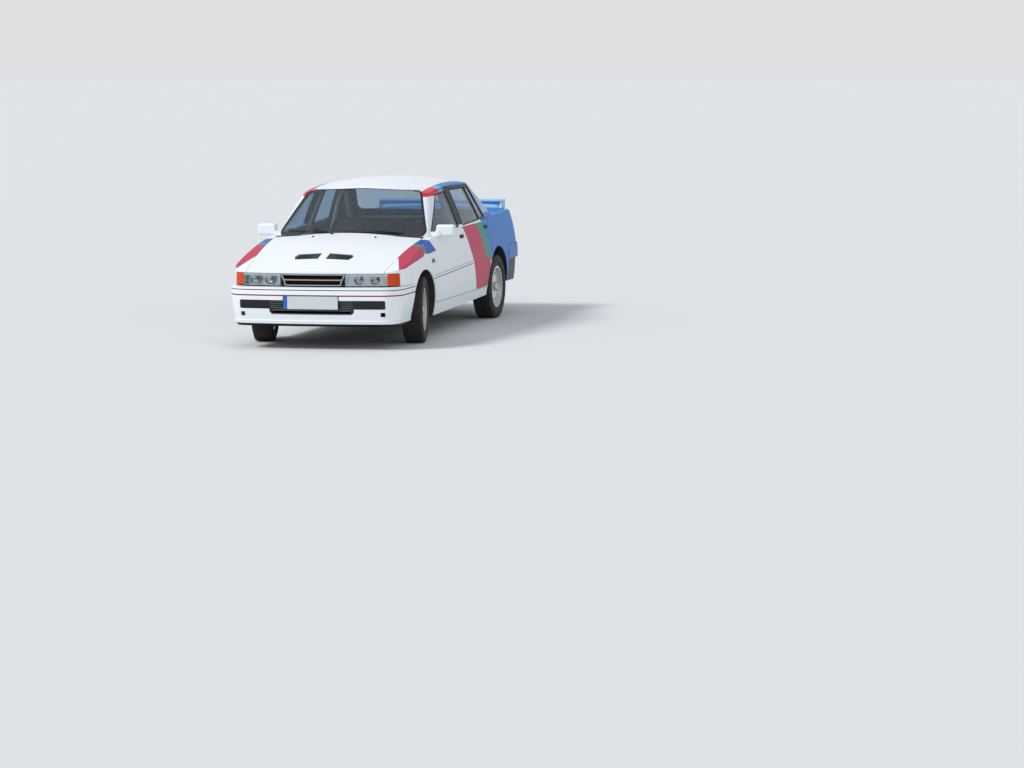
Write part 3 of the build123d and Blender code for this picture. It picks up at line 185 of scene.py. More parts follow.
PATCHES = [
    # name, colour, side view outline in mm, further edges
    ("fender red", RED, [(-2300, 700), (-1400, 800), (-1330, 830), (-1400, 1000), (-2300, 1000)],
     [BONNET_SHUT_LINE, FENDER_FRONT_EDGE]),
    ("fender green", GREEN, [(-1330, 825), (-1240, 815), (-1330, 960), (-1440, 960)], [BONNET_SHUT_LINE]),
    ("fender blue", BLUE, [(-1250, 812), (-965, 827), (-1120, 935), (-1240, 1000), (-1345, 960)], [BONNET_SHUT_LINE]),
    ("quarter blue", SKY, [(726, 1120), (905, 640), (2400, 640), (2400, 1120)], []),
    ("quarter middle blue", SKY, box(905, 2400, 592, 645), []),
    ("quarter low blue", SKY, box(1500, 2400, 200, 600), []),
    ("rear bumper blue", DUSK_BLUE, box(1600, 2400, 540, 692), []),
    ("valance black", BLACK, box(1640, 2400, 200, 542), []),
    ("rear pillar", LAVENDER, [(700, 1500), (1000, 1046), (2000, 1046), (2000, 1500)], []),
    ("door red", RED, [(60, 975), (173, 756), (265, 628), (739, 628), (545, 975)], []),
    ("door low red", RED, [(265, 628), (400, 350), (900, 350), (900, 628)], []),
    ("door green", GREEN, [(545, 975), (739, 628), (909, 628), (780, 975)], []),
    ("roof edge red", CANT_RED, box(-700, -190, 1250, 1500), OUTER_ROOF),
    ("roof edge cyan", CYAN, box(-190, -60, 1250, 1500), OUTER_ROOF),
    ("roof edge blue", SKY, box(-60, 900, 1250, 1500), OUTER_ROOF),
    ("bumper line", LINE_RED, box(-2300, -1500, 497, 509), []),
    # Painted shade: the groove along the front bumper is darkened over its length for the shade inside it
    ("bumper groove painted shade", GROOVE_SHADE_GREY, box(-2300, -1700, 549, 557), []),
    ("chin black", BLACK, box(-2300, -1715, 200, 240), []),
    # The spoiler's pale blue is a painted highlight: the light on its top, laid over all of it
    ("spoiler", SPOILER_HIGHLIGHT_PALE, box(1990, 2300, 1058, 1200), []),
]
DOOR_PATCHES = PATCHES + [
    ("frame black", BLACK, [(-62, 976), (-62, 1500), (1050, 1500), (1050, 1000), (962, 1000)], []),
]


def livery(tree, patches):
    """The body's colour at each place: white, with the coloured patches over it."""
    place = add(tree, "ShaderNodeTexCoord")
    parts = add(tree, "ShaderNodeSeparateXYZ", {0: place.outputs["Object"]})
    across = add(tree, "ShaderNodeMath", {0: parts.outputs["X"]}, operation="ABSOLUTE")
    folded = add(tree, "ShaderNodeCombineXYZ", {0: across.outputs[0], 1: parts.outputs["Y"], 2: parts.outputs["Z"]})
    colour = linear(WHITE)
    for name, code, outline, further in patches:
        mask = None
        for normal, offset in outline_edges(outline) + further:
            reach = add(tree, "ShaderNodeVectorMath", {0: folded.outputs[0], 1: normal}, operation="DOT_PRODUCT")
            step = add(tree, "ShaderNodeMath", {0: reach.outputs["Value"], 1: offset}, operation="GREATER_THAN")
            if mask is None:
                mask = step.outputs[0]
            else:
                mask = add(tree, "ShaderNodeMath", {0: mask, 1: step.outputs[0]}, operation="MULTIPLY").outputs[0]
        mix = add(tree, "ShaderNodeMix", {0: mask, 6: colour, 7: linear(code)}, data_type="RGBA", label=name)
        colour = mix.outputs[2]
    return colour


def body_paint(name, patches):
    """Two-pack acrylic sprayed over steel: a faint orange peel, its gloss dulled by a film of dust."""
    material, tree, shader = finish_of(name, WHITE, 0.4, Specular_IOR_Level=0.15, Coat_Weight=0.12, Coat_Roughness=0.1)
    tree.links.new(livery(tree, patches), shader.inputs["Base Color"])
    grain(tree, shader, 4, 0.01, 2.0)
    return material


def safety_glass(name, tint):
    """Float glass with a body tint: clear and hard, with a cool colour through it."""
    return finish_of(name, tint, 0.0, IOR=1.25, Transmission_Weight=0.96)[0]


def grained(name, colour, roughness=0.55, size_mm=1.2, height_mm=0.05, metallic=0.0, drift=None, **sockets):
    """An opaque finish with the grain that its process leaves; drift is what uneven_colour takes."""
    material, tree, shader = finish_of(name, colour, roughness, metallic, **sockets)
    if drift:
        uneven_colour(tree, shader, *drift)
    grain(tree, shader, size_mm, height_mm)
    return material


WAVE = 3.14  # a wave texture of scale 1 / (3.14 p) repeats every p
COARSE_WAVE = 6  # and one of scale 1 / (6 p) about every 2 p


def woven_cloth(name, colour, second, thread_mm):
    """Plain-woven polyester: two thread tones and a soft sheen. Threads are drawn twice too coarse."""
    material, tree, shader = finish_of(name, colour, 0.85, Sheen_Weight=0.4)
    scale = 1 / (thread_mm * MM * COARSE_WAVE)
    place = add(tree, "ShaderNodeTexCoord")
    warp, weft = [add(tree, "ShaderNodeTexWave", {"Vector": place.outputs["Object"], "Scale": scale},
                      bands_direction=direction) for direction in "XZ"]
    both = add(tree, "ShaderNodeMath", {0: warp.outputs["Fac"], 1: weft.outputs["Fac"]}, operation="MULTIPLY")
    mix = add(tree, "ShaderNodeMix", {0: both.outputs[0], 6: linear(colour), 7: linear(second)}, data_type="RGBA")
    bump = add(tree, "ShaderNodeBump", {"Height": both.outputs[0], "Distance": thread_mm * MM / 2})
    tree.links.new(mix.outputs[2], shader.inputs["Base Color"])
    tree.links.new(bump.outputs["Normal"], shader.inputs["Normal"])
    return material


def moulded_lens(name, colour, flute_mm, transmission):
    """Acrylic lens moulded with upright flutes inside that spread the light."""
    material, tree, shader = finish_of(name, colour, 0.04, IOR=1.3, Transmission_Weight=transmission)
    place = add(tree, "ShaderNodeTexCoord")
    flutes = add(tree, "ShaderNodeTexWave", {"Vector": place.outputs["Object"], "Scale": 1 / (flute_mm * MM * WAVE)},
                 bands_direction="X")
    bump = add(tree, "ShaderNodeBump", {"Height": flutes.outputs["Fac"], "Distance": flute_mm * MM / 20})
    tree.links.new(bump.outputs["Normal"], shader.inputs["Normal"])
    return material


def aluminised(name, colour, metallic, size_mm, height_mm):
    """Moulded plastic with aluminium laid on in a vacuum: a mirror with slight waves."""
    material, tree, shader = finish_of(name, colour, 0.12, metallic)
    grain(tree, shader, size_mm, height_mm)
    return material


PLATE_WHITE = "#C9D2D2"
PLATE_BLUE = "#1F63B5"
PLATE_BAND_X = -0.222


def plate_enamel():
    """Pressed aluminium plate with a baked white coat and a blue band at one end, left of PLATE_BAND_X."""
    material, tree, shader = finish_of("baked_plate_enamel", PLATE_WHITE, 0.4)
    place = add(tree, "ShaderNodeTexCoord")
    parts = add(tree, "ShaderNodeSeparateXYZ", {0: place.outputs["Object"]})
    band = add(tree, "ShaderNodeMath", {0: parts.outputs["X"], 1: PLATE_BAND_X}, operation="LESS_THAN")
    mix = add(tree, "ShaderNodeMix", {0: band.outputs[0], 6: linear(PLATE_WHITE), 7: linear(PLATE_BLUE)},
              data_type="RGBA")
    tree.links.new(mix.outputs[2], shader.inputs["Base Color"])
    grain(tree, shader, 6, 0.02)
    return material


PAINT = body_paint("sprayed_acrylic_livery", PATCHES)
DOOR_PAINT = body_paint("sprayed_door_livery", DOOR_PATCHES)
GLASS = safety_glass("tinted_laminated_glass", "#C6D4DF")
SIDE_GLASS = safety_glass("tinted_toughened_glass", "#B2CBE0")
SEAT_CLOTH = woven_cloth("woven_seat_polyester", "#8E2A44", "#B4506A", 1.2)
BELT_CLOTH = woven_cloth("woven_belt_polyester", "#B42A4C", "#D4496A", 1.0)
CLEAR_LENS = moulded_lens("fluted_clear_acrylic", "#F2F6F8", 11, 1.0)
AMBER_LENS = moulded_lens("fluted_amber_acrylic", "#E5501C", 6, 0.25)
RED_LENS = moulded_lens("fluted_red_acrylic", "#B01818", 6, 0.25)
SMOKED_LENS = moulded_lens("smoked_amber_acrylic", "#7A3A1E", 6, 0.2)
PLATE = plate_enamel()
REFLECTOR = aluminised("aluminised_bowl", "#E4E8EC", 1.0, 12, 0.15)
LAMP_SHELL = aluminised("aluminised_lamp_shell", "#D4DADF", 0.6, 22, 1.2)

# Carbon-black tyre rubber from a mould, dulled by road dust that sits in its texture
RUBBER = grained("moulded_tyre_rubber", "#1B1B1D", 0.78, 2, 0.15, drift=("#17171A", "#3A3530", 60, 0.5))

# Metals: aluminium cast and lacquered silver, anodised trim, sand-cast iron with rust and oil, tube browned by heat,
# steel dipped in primer and sprayed with a lumpy underbody coat, and steel with a dull film of zinc
ALLOY = grained("lacquered_cast_aluminium", "#D2D5D8", 0.32, 1.5, 0.02, 0.45, ("#D8DBDE", "#BDBBB6", 25, 0.8),
                Coat_Weight=0.4)
TRIM = grained("anodised_aluminium_trim", "#B4B6B8", 0.28, 3, 0.01, 1.0)
IRON = grained("sand_cast_iron", "#4A4643", 0.6, 2, 0.15, 0.7, ("#3B3835", "#5F4B3C", 30, 0.5))
HOT_STEEL = grained("heat_browned_steel", "#7A6D60", 0.42, 2, 0.05, 0.9, ("#8A8078", "#55463B", 120, 0.7))
CHASSIS = grained("sprayed_underbody_coat", "#1D1C1B", 0.85, 5, 0.4, drift=("#161617", "#453E36", 150, 0.6))
STEEL = grained("zinc_plated_steel", "#9A9C9E", 0.35, 2, 0.02)

# ABS and foam skins moulded in grained tools, and rubber drawn through a die
BLACK_PLASTIC = grained("grained_black_abs", "#141518")
GREY_PLASTIC = grained("grained_grey_abs", "#7C8088", 0.5)
SOFT_DASH = grained("grained_dash_foam", "#1C1E24", 0.7, 2, 0.1)
# Dark lining: vinyl on the doors, and painted shade of the cabin on the roof, body sides and rear shelf
CABIN_LINING_AND_SHADE = grained("vinyl_lining_and_painted_cabin_shade", "#44474F", 0.6, 1.5, 0.06)
SEAL_RUBBER = grained("extruded_seal_rubber", "#101114", 0.7, 2, 0.02)

# Acrylic paint sprayed over plastic, powder baked on steel tube, gelcoat out of a polished mould
LIP_PAINT = grained("sprayed_lip_white", WHITE, 0.4, 4, 0.01)
# The spoiler's paint is blue lightened to a painted highlight, on its ends and ramp too
SPOILER_HIGHLIGHT_PAINT = grained("spoiler_blue_painted_highlight", SPOILER_HIGHLIGHT_PALE, 0.4, 4, 0.01)
CAGE_PAINT = grained("powder_coated_tube", "#D4D6D8", 0.45, 3, 0.02)
SHELL_PLASTIC = grained("glass_fibre_gelcoat", "#2E3138", 0.35, 6, 0.05)

# Cast vinyl tape
VINYL_RED = grained("vinyl_tape_red", "#8A2A48", 0.4, 3, 0.01)
VINYL_GREY = grained("vinyl_tape_grey", "#6A6F7C", 0.4, 3, 0.01)

FINISHES = {name: finish for finish, names in [
    (PAINT, "roof rear_panel rear_shelf front_bumper rear_bumper bonnet boot_lid body_side fender mirror"),
    (DOOR_PAINT, "door"), (GLASS, "windscreen rear_window"), (SIDE_GLASS, "glass"), (RUBBER, "tyre"), (ALLOY, "rim"),
    (BLACK_PLASTIC, "bumper_grille grille wipers steering_wheel"), (SOFT_DASH, "dashboard"),
    (SEAT_CLOTH, "front_seats"), (CAGE_PAINT, "roll_cage"), (IRON, "engine_block knuckle"), (HOT_STEEL, "exhaust"),
    (CHASSIS, "driveline front_suspension rear_suspension floor_pan front_structure"), (LAMP_SHELL, "headlamps"),
    (CLEAR_LENS, "headlamp_lenses"), (AMBER_LENS, "indicators"), (RED_LENS, "tail_lamps"), (PLATE, "plate"),
] for name in names.split()}


def finish_for(name):
    """The finish of a node: that of the longest beginning of its name that has one."""
    return FINISHES[max((key for key in FINISHES if name.startswith(key)), key=len)]


for name, node in frame["nodes"].items():
    node.data.materials.clear()
    node.data.materials.append(finish_for(name))


# Linings: the faces of the shell that look into the cabin, in a dark lining. On the doors it is their vinyl; on the
# roof, body sides and rear shelf it is painted shade of the cabin.

CABIN_END_Y = 1.6
SHELF_EDGE_Y = 1.41  # the rear window's foot at its middle; from SHELF_BEND_X out it runs forward
SHELF_BEND_X = 0.48
SHELF_BEND = 0.6


def linings():
    """Gives the faces that look into the cabin a second material, a dark lining that is partly painted cabin shade."""
    inward = {"roof": (0, 0, -1)}
    for side, way in SIDES:
        for name in ("door_front_", "door_rear_", "body_side_"):
            inward[name + side] = (-way, 0, 0)
    for name, direction in inward.items():
        mesh = frame["nodes"][name].data
        mesh.materials.append(CABIN_LINING_AND_SHADE)
        for face in mesh.polygons:
            if face.normal.dot(Vector(direction)) > 0.35 and face.center.y < CABIN_END_Y:
                face.material_index = 1
    shelf = frame["nodes"]["rear_shelf"].data
    shelf.materials.append(CABIN_LINING_AND_SHADE)
    for face in shelf.polygons:
        behind_glass = face.center.y < SHELF_EDGE_Y - SHELF_BEND * max(0, abs(face.center.x) - SHELF_BEND_X)
        face.material_index = 1 if behind_glass else 0


linings()


# Meshes

def piece(name, mesh, material, body="body"):
    """A finished piece that moves with a body."""
    obj = placed(name, mesh)
    mesh.materials.append(material)
    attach(obj, body)
    return obj


def mesh_from(name, vertices, faces, smooth=True):
    """A mesh with its doubles merged and its faces outwards."""
    mesh = bpy.data.meshes.new(name)
    mesh.from_pydata([tuple(v) for v in vertices], [], faces)
    build = bmesh.new()
    build.from_mesh(mesh)
    bmesh.ops.remove_doubles(build, verts=build.verts, dist=1e-6)
    bmesh.ops.recalc_face_normals(build, faces=build.faces)
    for face in build.faces:
        face.smooth = smooth
    build.to_mesh(mesh)
    build.free()
    return mesh


def sweep_section(name, sections, closed, smooth=False):
    """A mesh through rings of points, one at each place; closed joins the last ring to the first."""
    count = len(sections[0])
    vertices = [p for section in sections for p in section]
    faces = []
    for i in range(len(sections) if closed else len(sections) - 1):
        a = i * count
        b = (i + 1) % len(sections) * count
        for k in range(count):
            n = (k + 1) % count
            faces.append((a + k, a + n, b + n, b + k))
    if not closed:
        faces.append(tuple(range(count)))
        faces.append(tuple(reversed(range(len(vertices) - count, len(vertices)))))
    return mesh_from(name, vertices, faces, smooth)


def slab(name, top, thick):
    """A panel of one thickness under a ring of top corners."""
    low = [p - Vector((0, 0, thick)) for p in top]
    count = len(top)
    faces = [tuple(range(count)), tuple(reversed(range(count, 2 * count)))]
    faces += [(k, count + k, count + (k + 1) % count, (k + 1) % count) for k in range(count)]
    return mesh_from(name, top + low, faces, False)


# Places on surfaces

OUTSIDE = 1.2  # metres from the middle, past the mirrors


def spread(first, last, steps):
    """Even values from first to last, one more than the steps."""
    return [first + (last - first) * i / steps for i in range(steps + 1)]


def surface_of(mesh):
    """A mesh's surface, ready for finding where a line meets it."""
    return BVHTree.FromPolygons([v.co for v in mesh.vertices], [tuple(p.vertices) for p in mesh.polygons])


def surfaces(*names):
    return [surface_of(frame["nodes"][name].data) for name in names]


def meet(trees, start, direction):
    """Where a line from start first meets the surfaces: (place, normal), or None."""
    best = None
    for tree in trees:
        place, normal, _, distance = tree.ray_cast(Vector(start), Vector(direction))
        if place is not None and (best is None or distance < best[2]):
            best = (place, normal, distance)
    return best[:2] if best else None


def meets(trees, starts, direction):
    """Where lines meet the surfaces; a line that misses them is left out."""
    return [hit for hit in (meet(trees, start, direction) for start in starts) if hit]


def hits_from_side(trees, way, points):
    """Places seen from the left (way 1) or the right (-1), for (y, z) points in mm."""
    return meets(trees, [(way * OUTSIDE, y * MM, z * MM) for y, z in points], (-way, 0, 0))


def hits_from_front(trees, points, start=-3):
    """Places seen from the front, for (x, z) points in mm."""
    return meets(trees, [(x * MM, start, z * MM) for x, z in points], (0, 1, 0))


def hits_from_above(trees, points, start=1.5):
    """Places seen from above, for (x, y) points in mm."""
    return meets(trees, [(x * MM, y * MM, start) for x, y in points], (0, 0, -1))


STRIP_SINK = 0.002
STRIP_EASE = 0.0015


def strip_mesh(name, hits, width, proud, closed=False):
    """A flat strip with eased edges that lies along places on a surface; hits are (place, normal)."""
    count = len(hits)
    sections = []
    for i, (place, normal) in enumerate(hits):
        before = hits[(i - 1) % count][0] if closed or i > 0 else place
        after = hits[(i + 1) % count][0] if closed or i < count - 1 else place
        along = (after - before).normalized()
        side = along.cross(normal).normalized()
        half = width / 2
        ease = min(STRIP_EASE, width / 4, proud / 2)
        sections.append([place + side * across + normal * up for across, up in (
            (-half, -STRIP_SINK), (half, -STRIP_SINK), (half, proud - ease), (half - ease, proud),
            (-half + ease, proud), (-half, proud - ease))])
    return sweep_section(name, sections, closed)


def strip(name, hits, width, proud, material, body="body", closed=False):
    return piece(name, strip_mesh(name, hits, width, proud, closed), material, body)


def joined(name, meshes, material, body="body"):
    """One piece from several small meshes."""
    build = bmesh.new()
    for mesh in meshes:
        build.from_mesh(mesh)
        bpy.data.meshes.remove(mesh)
    whole = bpy.data.meshes.new(name)
    build.to_mesh(whole)
    build.free()
    return piece(name, whole, material, body)


def pane_loops(node_name, outward):
    """The edges of a pane's outer face, as closed loops of (place, normal)."""
    build = bmesh.new()
    build.from_mesh(frame["nodes"][node_name].data)
    bmesh.ops.remove_doubles(build, verts=build.verts, dist=1e-5)
    build.normal_update()
    outward = Vector(outward)
    outer = {f for f in build.faces if f.normal.dot(outward) > 0.5}
    links = {}
    for edge in build.edges:
        inside = [f for f in edge.link_faces if f in outer]
        if len(inside) == 1:
            for a, b in ((edge.verts[0], edge.verts[1]), (edge.verts[1], edge.verts[0])):
                links.setdefault(a, []).append((b, inside[0].normal.copy()))
    loops = []
    left = {v for v, ways in links.items() if len(ways) == 2}
    for first in links:
        if first not in left:
            continue
        left.discard(first)
        loop = [(first.co.copy(), links[first][0][1])]
        last, current = first, links[first][0][0]
        while current is not first and current in left:
            left.discard(current)
            ways = links[current]
            loop.append((current.co.copy(), ways[0][1]))
            following = ways[0][0] if ways[0][0] is not last else ways[1][0]
            last, current = current, following
        if len(loop) > 8:
            loops.append(loop)
    build.free()
    return loops


WHEELS = [(row + "_" + side, way) for side, way in SIDES for row in ("front", "rear")]


def wheel_frame(wheel):
    """Takes a wheel drawn about the X axis at the origin to its axle."""
    joint = next(j for j in frame["joints"] if j["name"] == "roll_" + wheel)
    axis = Vector(joint["axis"]).normalized()
    yaw = math.atan2(axis.y, axis.x)
    return Matrix.Translation(joint["pos_m"]) @ Matrix.Rotation(yaw, 4, "Z")


def lathe(name, profile, place, steps, smooth=True):
    """A closed (x, radius) profile turned about X, then taken to its place."""
    sections = []
    for i in range(steps):
        angle = 2 * math.pi * i / steps
        sections.append([place @ Vector((x, r * math.sin(angle), r * math.cos(angle))) for x, r in profile])
    return sweep_section(name, sections, True, smooth)


def along_y(place):
    """Takes a shape drawn along X to a place, along Y."""
    return Matrix.Translation(place) @ Matrix.Rotation(math.radians(90), 4, "Z")


# Corner pieces between the windscreen's top corners, the roof and the pillars

ROOF_CORNER = [(440, -500), (500, -497), (530, -500), (550, -516), (566, -518), (577, -500), (577, -432), (440, -440)]
CORNER_PLACE = (480, -400, 1367.6)  # a point of the plate's plane, in mm
CORNER_FALL_OUT = 0.18
CORNER_RISE_BACK = 0.1


def roof_corners():
    """A pressed plate that laps the roof and pillar by a hair at each corner of the windscreen's head."""
    x0, y0, z0 = CORNER_PLACE
    for side, way in SIDES:
        top = [Vector((way * x, y, z0 - CORNER_FALL_OUT * (x - x0) + CORNER_RISE_BACK * (y - y0))) * MM
               for x, y in ROOF_CORNER]
        piece("roof_corner_" + side, slab("roof_corner", top, 0.006), PAINT)


roof_corners()


# Seals round the glass

def seals():
    """Rubber seals round the bonded screens and in the window frames."""
    # node, the way it faces, body, width, height over the glass
    table = [("windscreen", (0, -0.7, 0.7), "body", 0.022, 0.002), ("rear_window", (0, 0.7, 0.7), "body", 0.018, 0.002)]
    for side, way in SIDES:
        table.append(("glass_front_" + side, (way, 0, 0), "door_front_" + side, 0.014, 0.006))
        table.append(("glass_rear_" + side, (way, 0, 0), "door_rear_" + side, 0.014, 0.006))
    for node_name, outward, body, width, proud in table:
        for index, loop in enumerate(pane_loops(node_name, outward)):
            strip("seal_%s_%d" % (node_name, index), loop, width, proud, SEAL_RUBBER, body, closed=True)


seals()


# Pinstripes along the doors, climbing a little to the rear

STRIPE_START = (-1110, 589)  # (y, z) in mm
STRIPE_END = (980, 648)
STRIPE_SLOPE = (STRIPE_END[1] - STRIPE_START[1]) / (STRIPE_END[0] - STRIPE_START[0])
STRIPE_LINES = [("low", -13, 0.009, VINYL_RED), ("high", 13, 0.005, VINYL_GREY)]  # name, offset, width, tape
STRIPE_SPANS = [("fender", -1110, -1010), ("door_front", -992, 22), ("door_rear", 38, 240)]  # node, from y, to y


def pinstripes():
    for node_name, y0, y1 in STRIPE_SPANS:
        places = [(y, STRIPE_START[1] + STRIPE_SLOPE * (y - STRIPE_START[0]))
                  for y in spread(y0, y1, max(3, int((y1 - y0) / 60)))]
        for side, way in SIDES:
            trees = surfaces(node_name + "_" + side)
            for line, offset, width, tape in STRIPE_LINES:
                hits = hits_from_side(trees, way, [(y, z + offset) for y, z in places])
                strip("pinstripe_%s_%s_%s" % (line, node_name, side), hits, width, 0.0008, tape,
                      "body" if node_name == "fender" else node_name + "_" + side)


pinstripes()


# Door handles: a black grip in a shallow black dish

HANDLE_LENGTH = 130
HANDLES = [("door_front", -50, 892), ("door_rear", 868, 920)]  # node, y and z of its middle


def handles():
    for node_name, y, z in HANDLES:
        for side, way in SIDES:
            body = node_name + "_" + side
            span = spread(y - HANDLE_LENGTH / 2, y + HANDLE_LENGTH / 2, 8)
            hits = hits_from_side(surfaces(body), way, [(place, z) for place in span])
            strip("handle_dish_" + body, hits, 0.036, 0.002, BLACK_PLASTIC, body)
            strip("handle_grip_" + body, hits[1:-1], 0.016, 0.012, BLACK_PLASTIC, body)


handles()


# Bonnet vents, washer jets and side repeaters

VENT = [(40, -1924), (254, -1924), (281, -1850), (261, -1783), (40, -1783)]
VENT_BLADES_Y = [-1912 + 23 * row for row in range(6)]
WASHER_X = 305


def vents():
    """A black tray in each recess of the bonnet, with blades across it that lean back."""
    bonnet = surfaces("bonnet")
    for side, way in SIDES:
        tray = [place + Vector((0, 0, 0.0015)) for place, _ in hits_from_above(bonnet, [(way * x, y) for x, y in VENT])]
        piece("vent_tray_" + side, slab("vent_tray", tray, 0.003), BLACK_PLASTIC, "bonnet")
        rows = [hits_from_above(bonnet, [(way * x, y) for x in spread(44, 249, 6)]) for y in VENT_BLADES_Y]
        blades = [strip_mesh("vent_blade", hits, 0.008, 0.009) for hits in rows]
        joined("vent_blades_" + side, blades, BLACK_PLASTIC, "bonnet")
    for side, way in SIDES:
        hits = hits_from_above(bonnet, [(way * WASHER_X, y) for y in (-1225, -1212, -1200)])
        strip("washer_jet_" + side, hits, 0.016, 0.008, BLACK_PLASTIC, "bonnet")


vents()


def repeaters():
    for side, way in SIDES:
        hits = hits_from_side(surfaces("fender_" + side), way, [(y, 742) for y in spread(-1140, -1080, 4)])
        strip("repeater_" + side, hits, 0.034, 0.009, SMOKED_LENS)


repeaters()


# Bright frame of the grille, and its bars

GRILLE_BARS = [("top", 690, 302, 0.010), ("middle", 642, 278, 0.011), ("low", 594, 262, 0.009)]  # z, half length, width


def grille_trim():
    grille = surfaces("grille")
    ends = []
    for name, z, half, width in GRILLE_BARS:
        hits = hits_from_front(grille, [(x, z) for x in spread(-half, half, 12)])
        strip("grille_bar_" + name, hits, width, 0.004, TRIM)
        ends.append((hits[0], hits[-1]))
    for index, side in enumerate(("right", "left")):
        strip("grille_end_" + side, [pair[index] for pair in ends], 0.012, 0.004, TRIM)


grille_trim()


# Lamp bowls, bulbs and their hoods

BOWL_R = 0.046
BOWL_Z = 642
BOWLS = [("high", 428), ("low", 577)]  # name, x
# Profiles as (y, radius), forwards of the lamp's back; the bowl's radius is a share of BOWL_R
BOWL_PROFILE = [(-0.002, 0.16), (-0.004, 0.4), (-0.011, 0.66), (-0.024, 0.87), (-0.044, 1.0), (-0.044, 1.03),
                (-0.024, 0.9), (-0.010, 0.69), (-0.0025, 0.42), (-0.0005, 0.16)]
HOOD_PROFILE = [(-0.030, 0.002), (-0.034, 0.007), (-0.014, 0.009), (-0.004, 0.009), (-0.003, 0.002)]


def bowls():
    """Two bright bowls in each headlamp, each with a hooded bulb."""
    lamps = surfaces("headlamps")
    for side, way in SIDES:
        for name, x in BOWLS:
            spot = along_y(hits_from_front(lamps, [(way * x, BOWL_Z)])[0][0])
            bowl = [(y, r * BOWL_R) for y, r in BOWL_PROFILE]
            piece("bowl_%s_%s" % (name, side), lathe("bowl", bowl, spot, 20, False), REFLECTOR)
            piece("bulb_hood_%s_%s" % (name, side), lathe("hood", HOOD_PROFILE, spot, 20), STEEL)


bowls()


# Front bumper: a lip along its foot, ribs over its lamps and edges on its slots

BUMPER_MIDDLE_Y = -1.2


def round_front(node_name, z, reach):
    """Places round the front of a node at one height, reach degrees to each side."""
    trees = surfaces(node_name)
    hits = []
    for angle in spread(-reach, reach, 96):
        out = Vector((math.sin(math.radians(angle)), -math.cos(math.radians(angle)), 0))
        hits += meets(trees, [Vector((0, BUMPER_MIDDLE_Y, z * MM)) + out * 3], -out)
    return hits


def bumper_details():
    strip("bumper_lip", round_front("front_bumper", 259, 54), 0.030, 0.010, LIP_PAINT)
    inset = surfaces("bumper_grille")
    ribs = [hits_from_front(inset, [(way * (414 + 12 * i), z) for z in (386, 404, 420, 436, 453)])
            for way in (1, -1) for i in range(23)]
    joined("bumper_lamp_ribs", [strip_mesh("rib", hits, 0.005, 0.003) for hits in ribs], BLACK_PLASTIC)
    lines = [[(way * x, z) for x in spread(262, 394, 6)] for way in (1, -1) for z in (393, 412, 431, 450)]
    lines += [[(x, z) for x in spread(-372, 372, 12)] for z in (333, 367)]
    edges = [strip_mesh("edge", hits_from_front(inset, line), 0.0035, 0.0012) for line in lines]
    joined("bumper_slot_edges", edges, GREY_PLASTIC)


bumper_details()


# Ends of the rear spoiler, turned down to the lid

# The path as (x, z, degrees turned down), the section as (y, height)
SPOILER_PATH = [(596, 1097, 0), (616, 1095, 18), (628, 1086, 50), (634, 1066, 80), (636, 1042, 88), (637, 1016, 90)]
SPOILER_CHORD = [(2052, 0), (2075, 4.5), (2120, 6.5), (2160, 5), (2192, 1), (2160, -5), (2120, -6.5), (2075, -4.5)]


def spoiler_ends():
    for side, way in SIDES:
        sections = []
        for x, z, fall in SPOILER_PATH:
            out, up = math.sin(math.radians(fall)), math.cos(math.radians(fall))
            sections.append([Vector((way * (x + out * t), y, z + up * t)) * MM for y, t in SPOILER_CHORD])
        piece("spoiler_end_" + side, sweep_section("spoiler_end", sections, False, True), SPOILER_HIGHLIGHT_PAINT, "boot_lid")


spoiler_ends()


def spoiler_ramp():
    """A curved sheet that closes the space under the spoiler's front edge."""
    lid = surfaces("boot_lid")
    sections = []
    for x in spread(-612, 612, 24):
        foot = hits_from_above(lid, [(x, 2030)])[0][0].z / MM - 1
        sections.append([Vector((x, y, z)) * MM for y, z in (
            (2026, foot), (2056, foot + 14), (2082, foot + 36), (2102, 1101), (2110, 1098), (2090, foot + 30),
            (2064, foot + 7), (2040, foot - 1))])
    piece("spoiler_ramp", sweep_section("spoiler_ramp", sections, False, True), SPOILER_HIGHLIGHT_PAINT, "boot_lid")


spoiler_ramp()


# Wiper arms, with their spindles on the scuttle

WIPERS = [("right", -365, -130), ("left", 240, 480)]  # side, x of the blade's middle and of the spindle


def wiper_arms():
    trees = surfaces("windscreen", "front_structure", "bonnet")
    for side, blade_x, spindle_x in WIPERS:
        hits = hits_from_front(trees, list(zip(spread(blade_x, spindle_x, 6), spread(1008, 982, 6))))
        strip("wiper_arm_" + side, hits, 0.010, 0.016, BLACK_PLASTIC)


wiper_arms()


# Seats: moulded buckets with stuffed pads and a harness

SEAT_X = 370
BUCKET = [
    # y, z, lean in degrees from upright, half width, depth of the sides
    (-345, 352, 84, 215, 46), (-200, 328, 84, 222, 62), (-40, 318, 82, 224, 74), (60, 330, 64, 224, 84),
    (112, 392, 34, 222, 92), (140, 480, 17, 222, 96), (168, 600, 14, 220, 88), (192, 730, 12, 216, 74),
    (214, 850, 12, 202, 60), (230, 940, 12, 170, 46), (243, 1000, 12, 146, 38), (251, 1044, 12, 120, 26),
]


def seat_point(y, z, lean, across, up):
    """A place on a seat's section: across it, and up from its floor towards the sitter."""
    angle = math.radians(lean)
    return Vector(((SEAT_X + across) * MM, (y - up * math.cos(angle)) * MM, (z + up * math.sin(angle)) * MM))


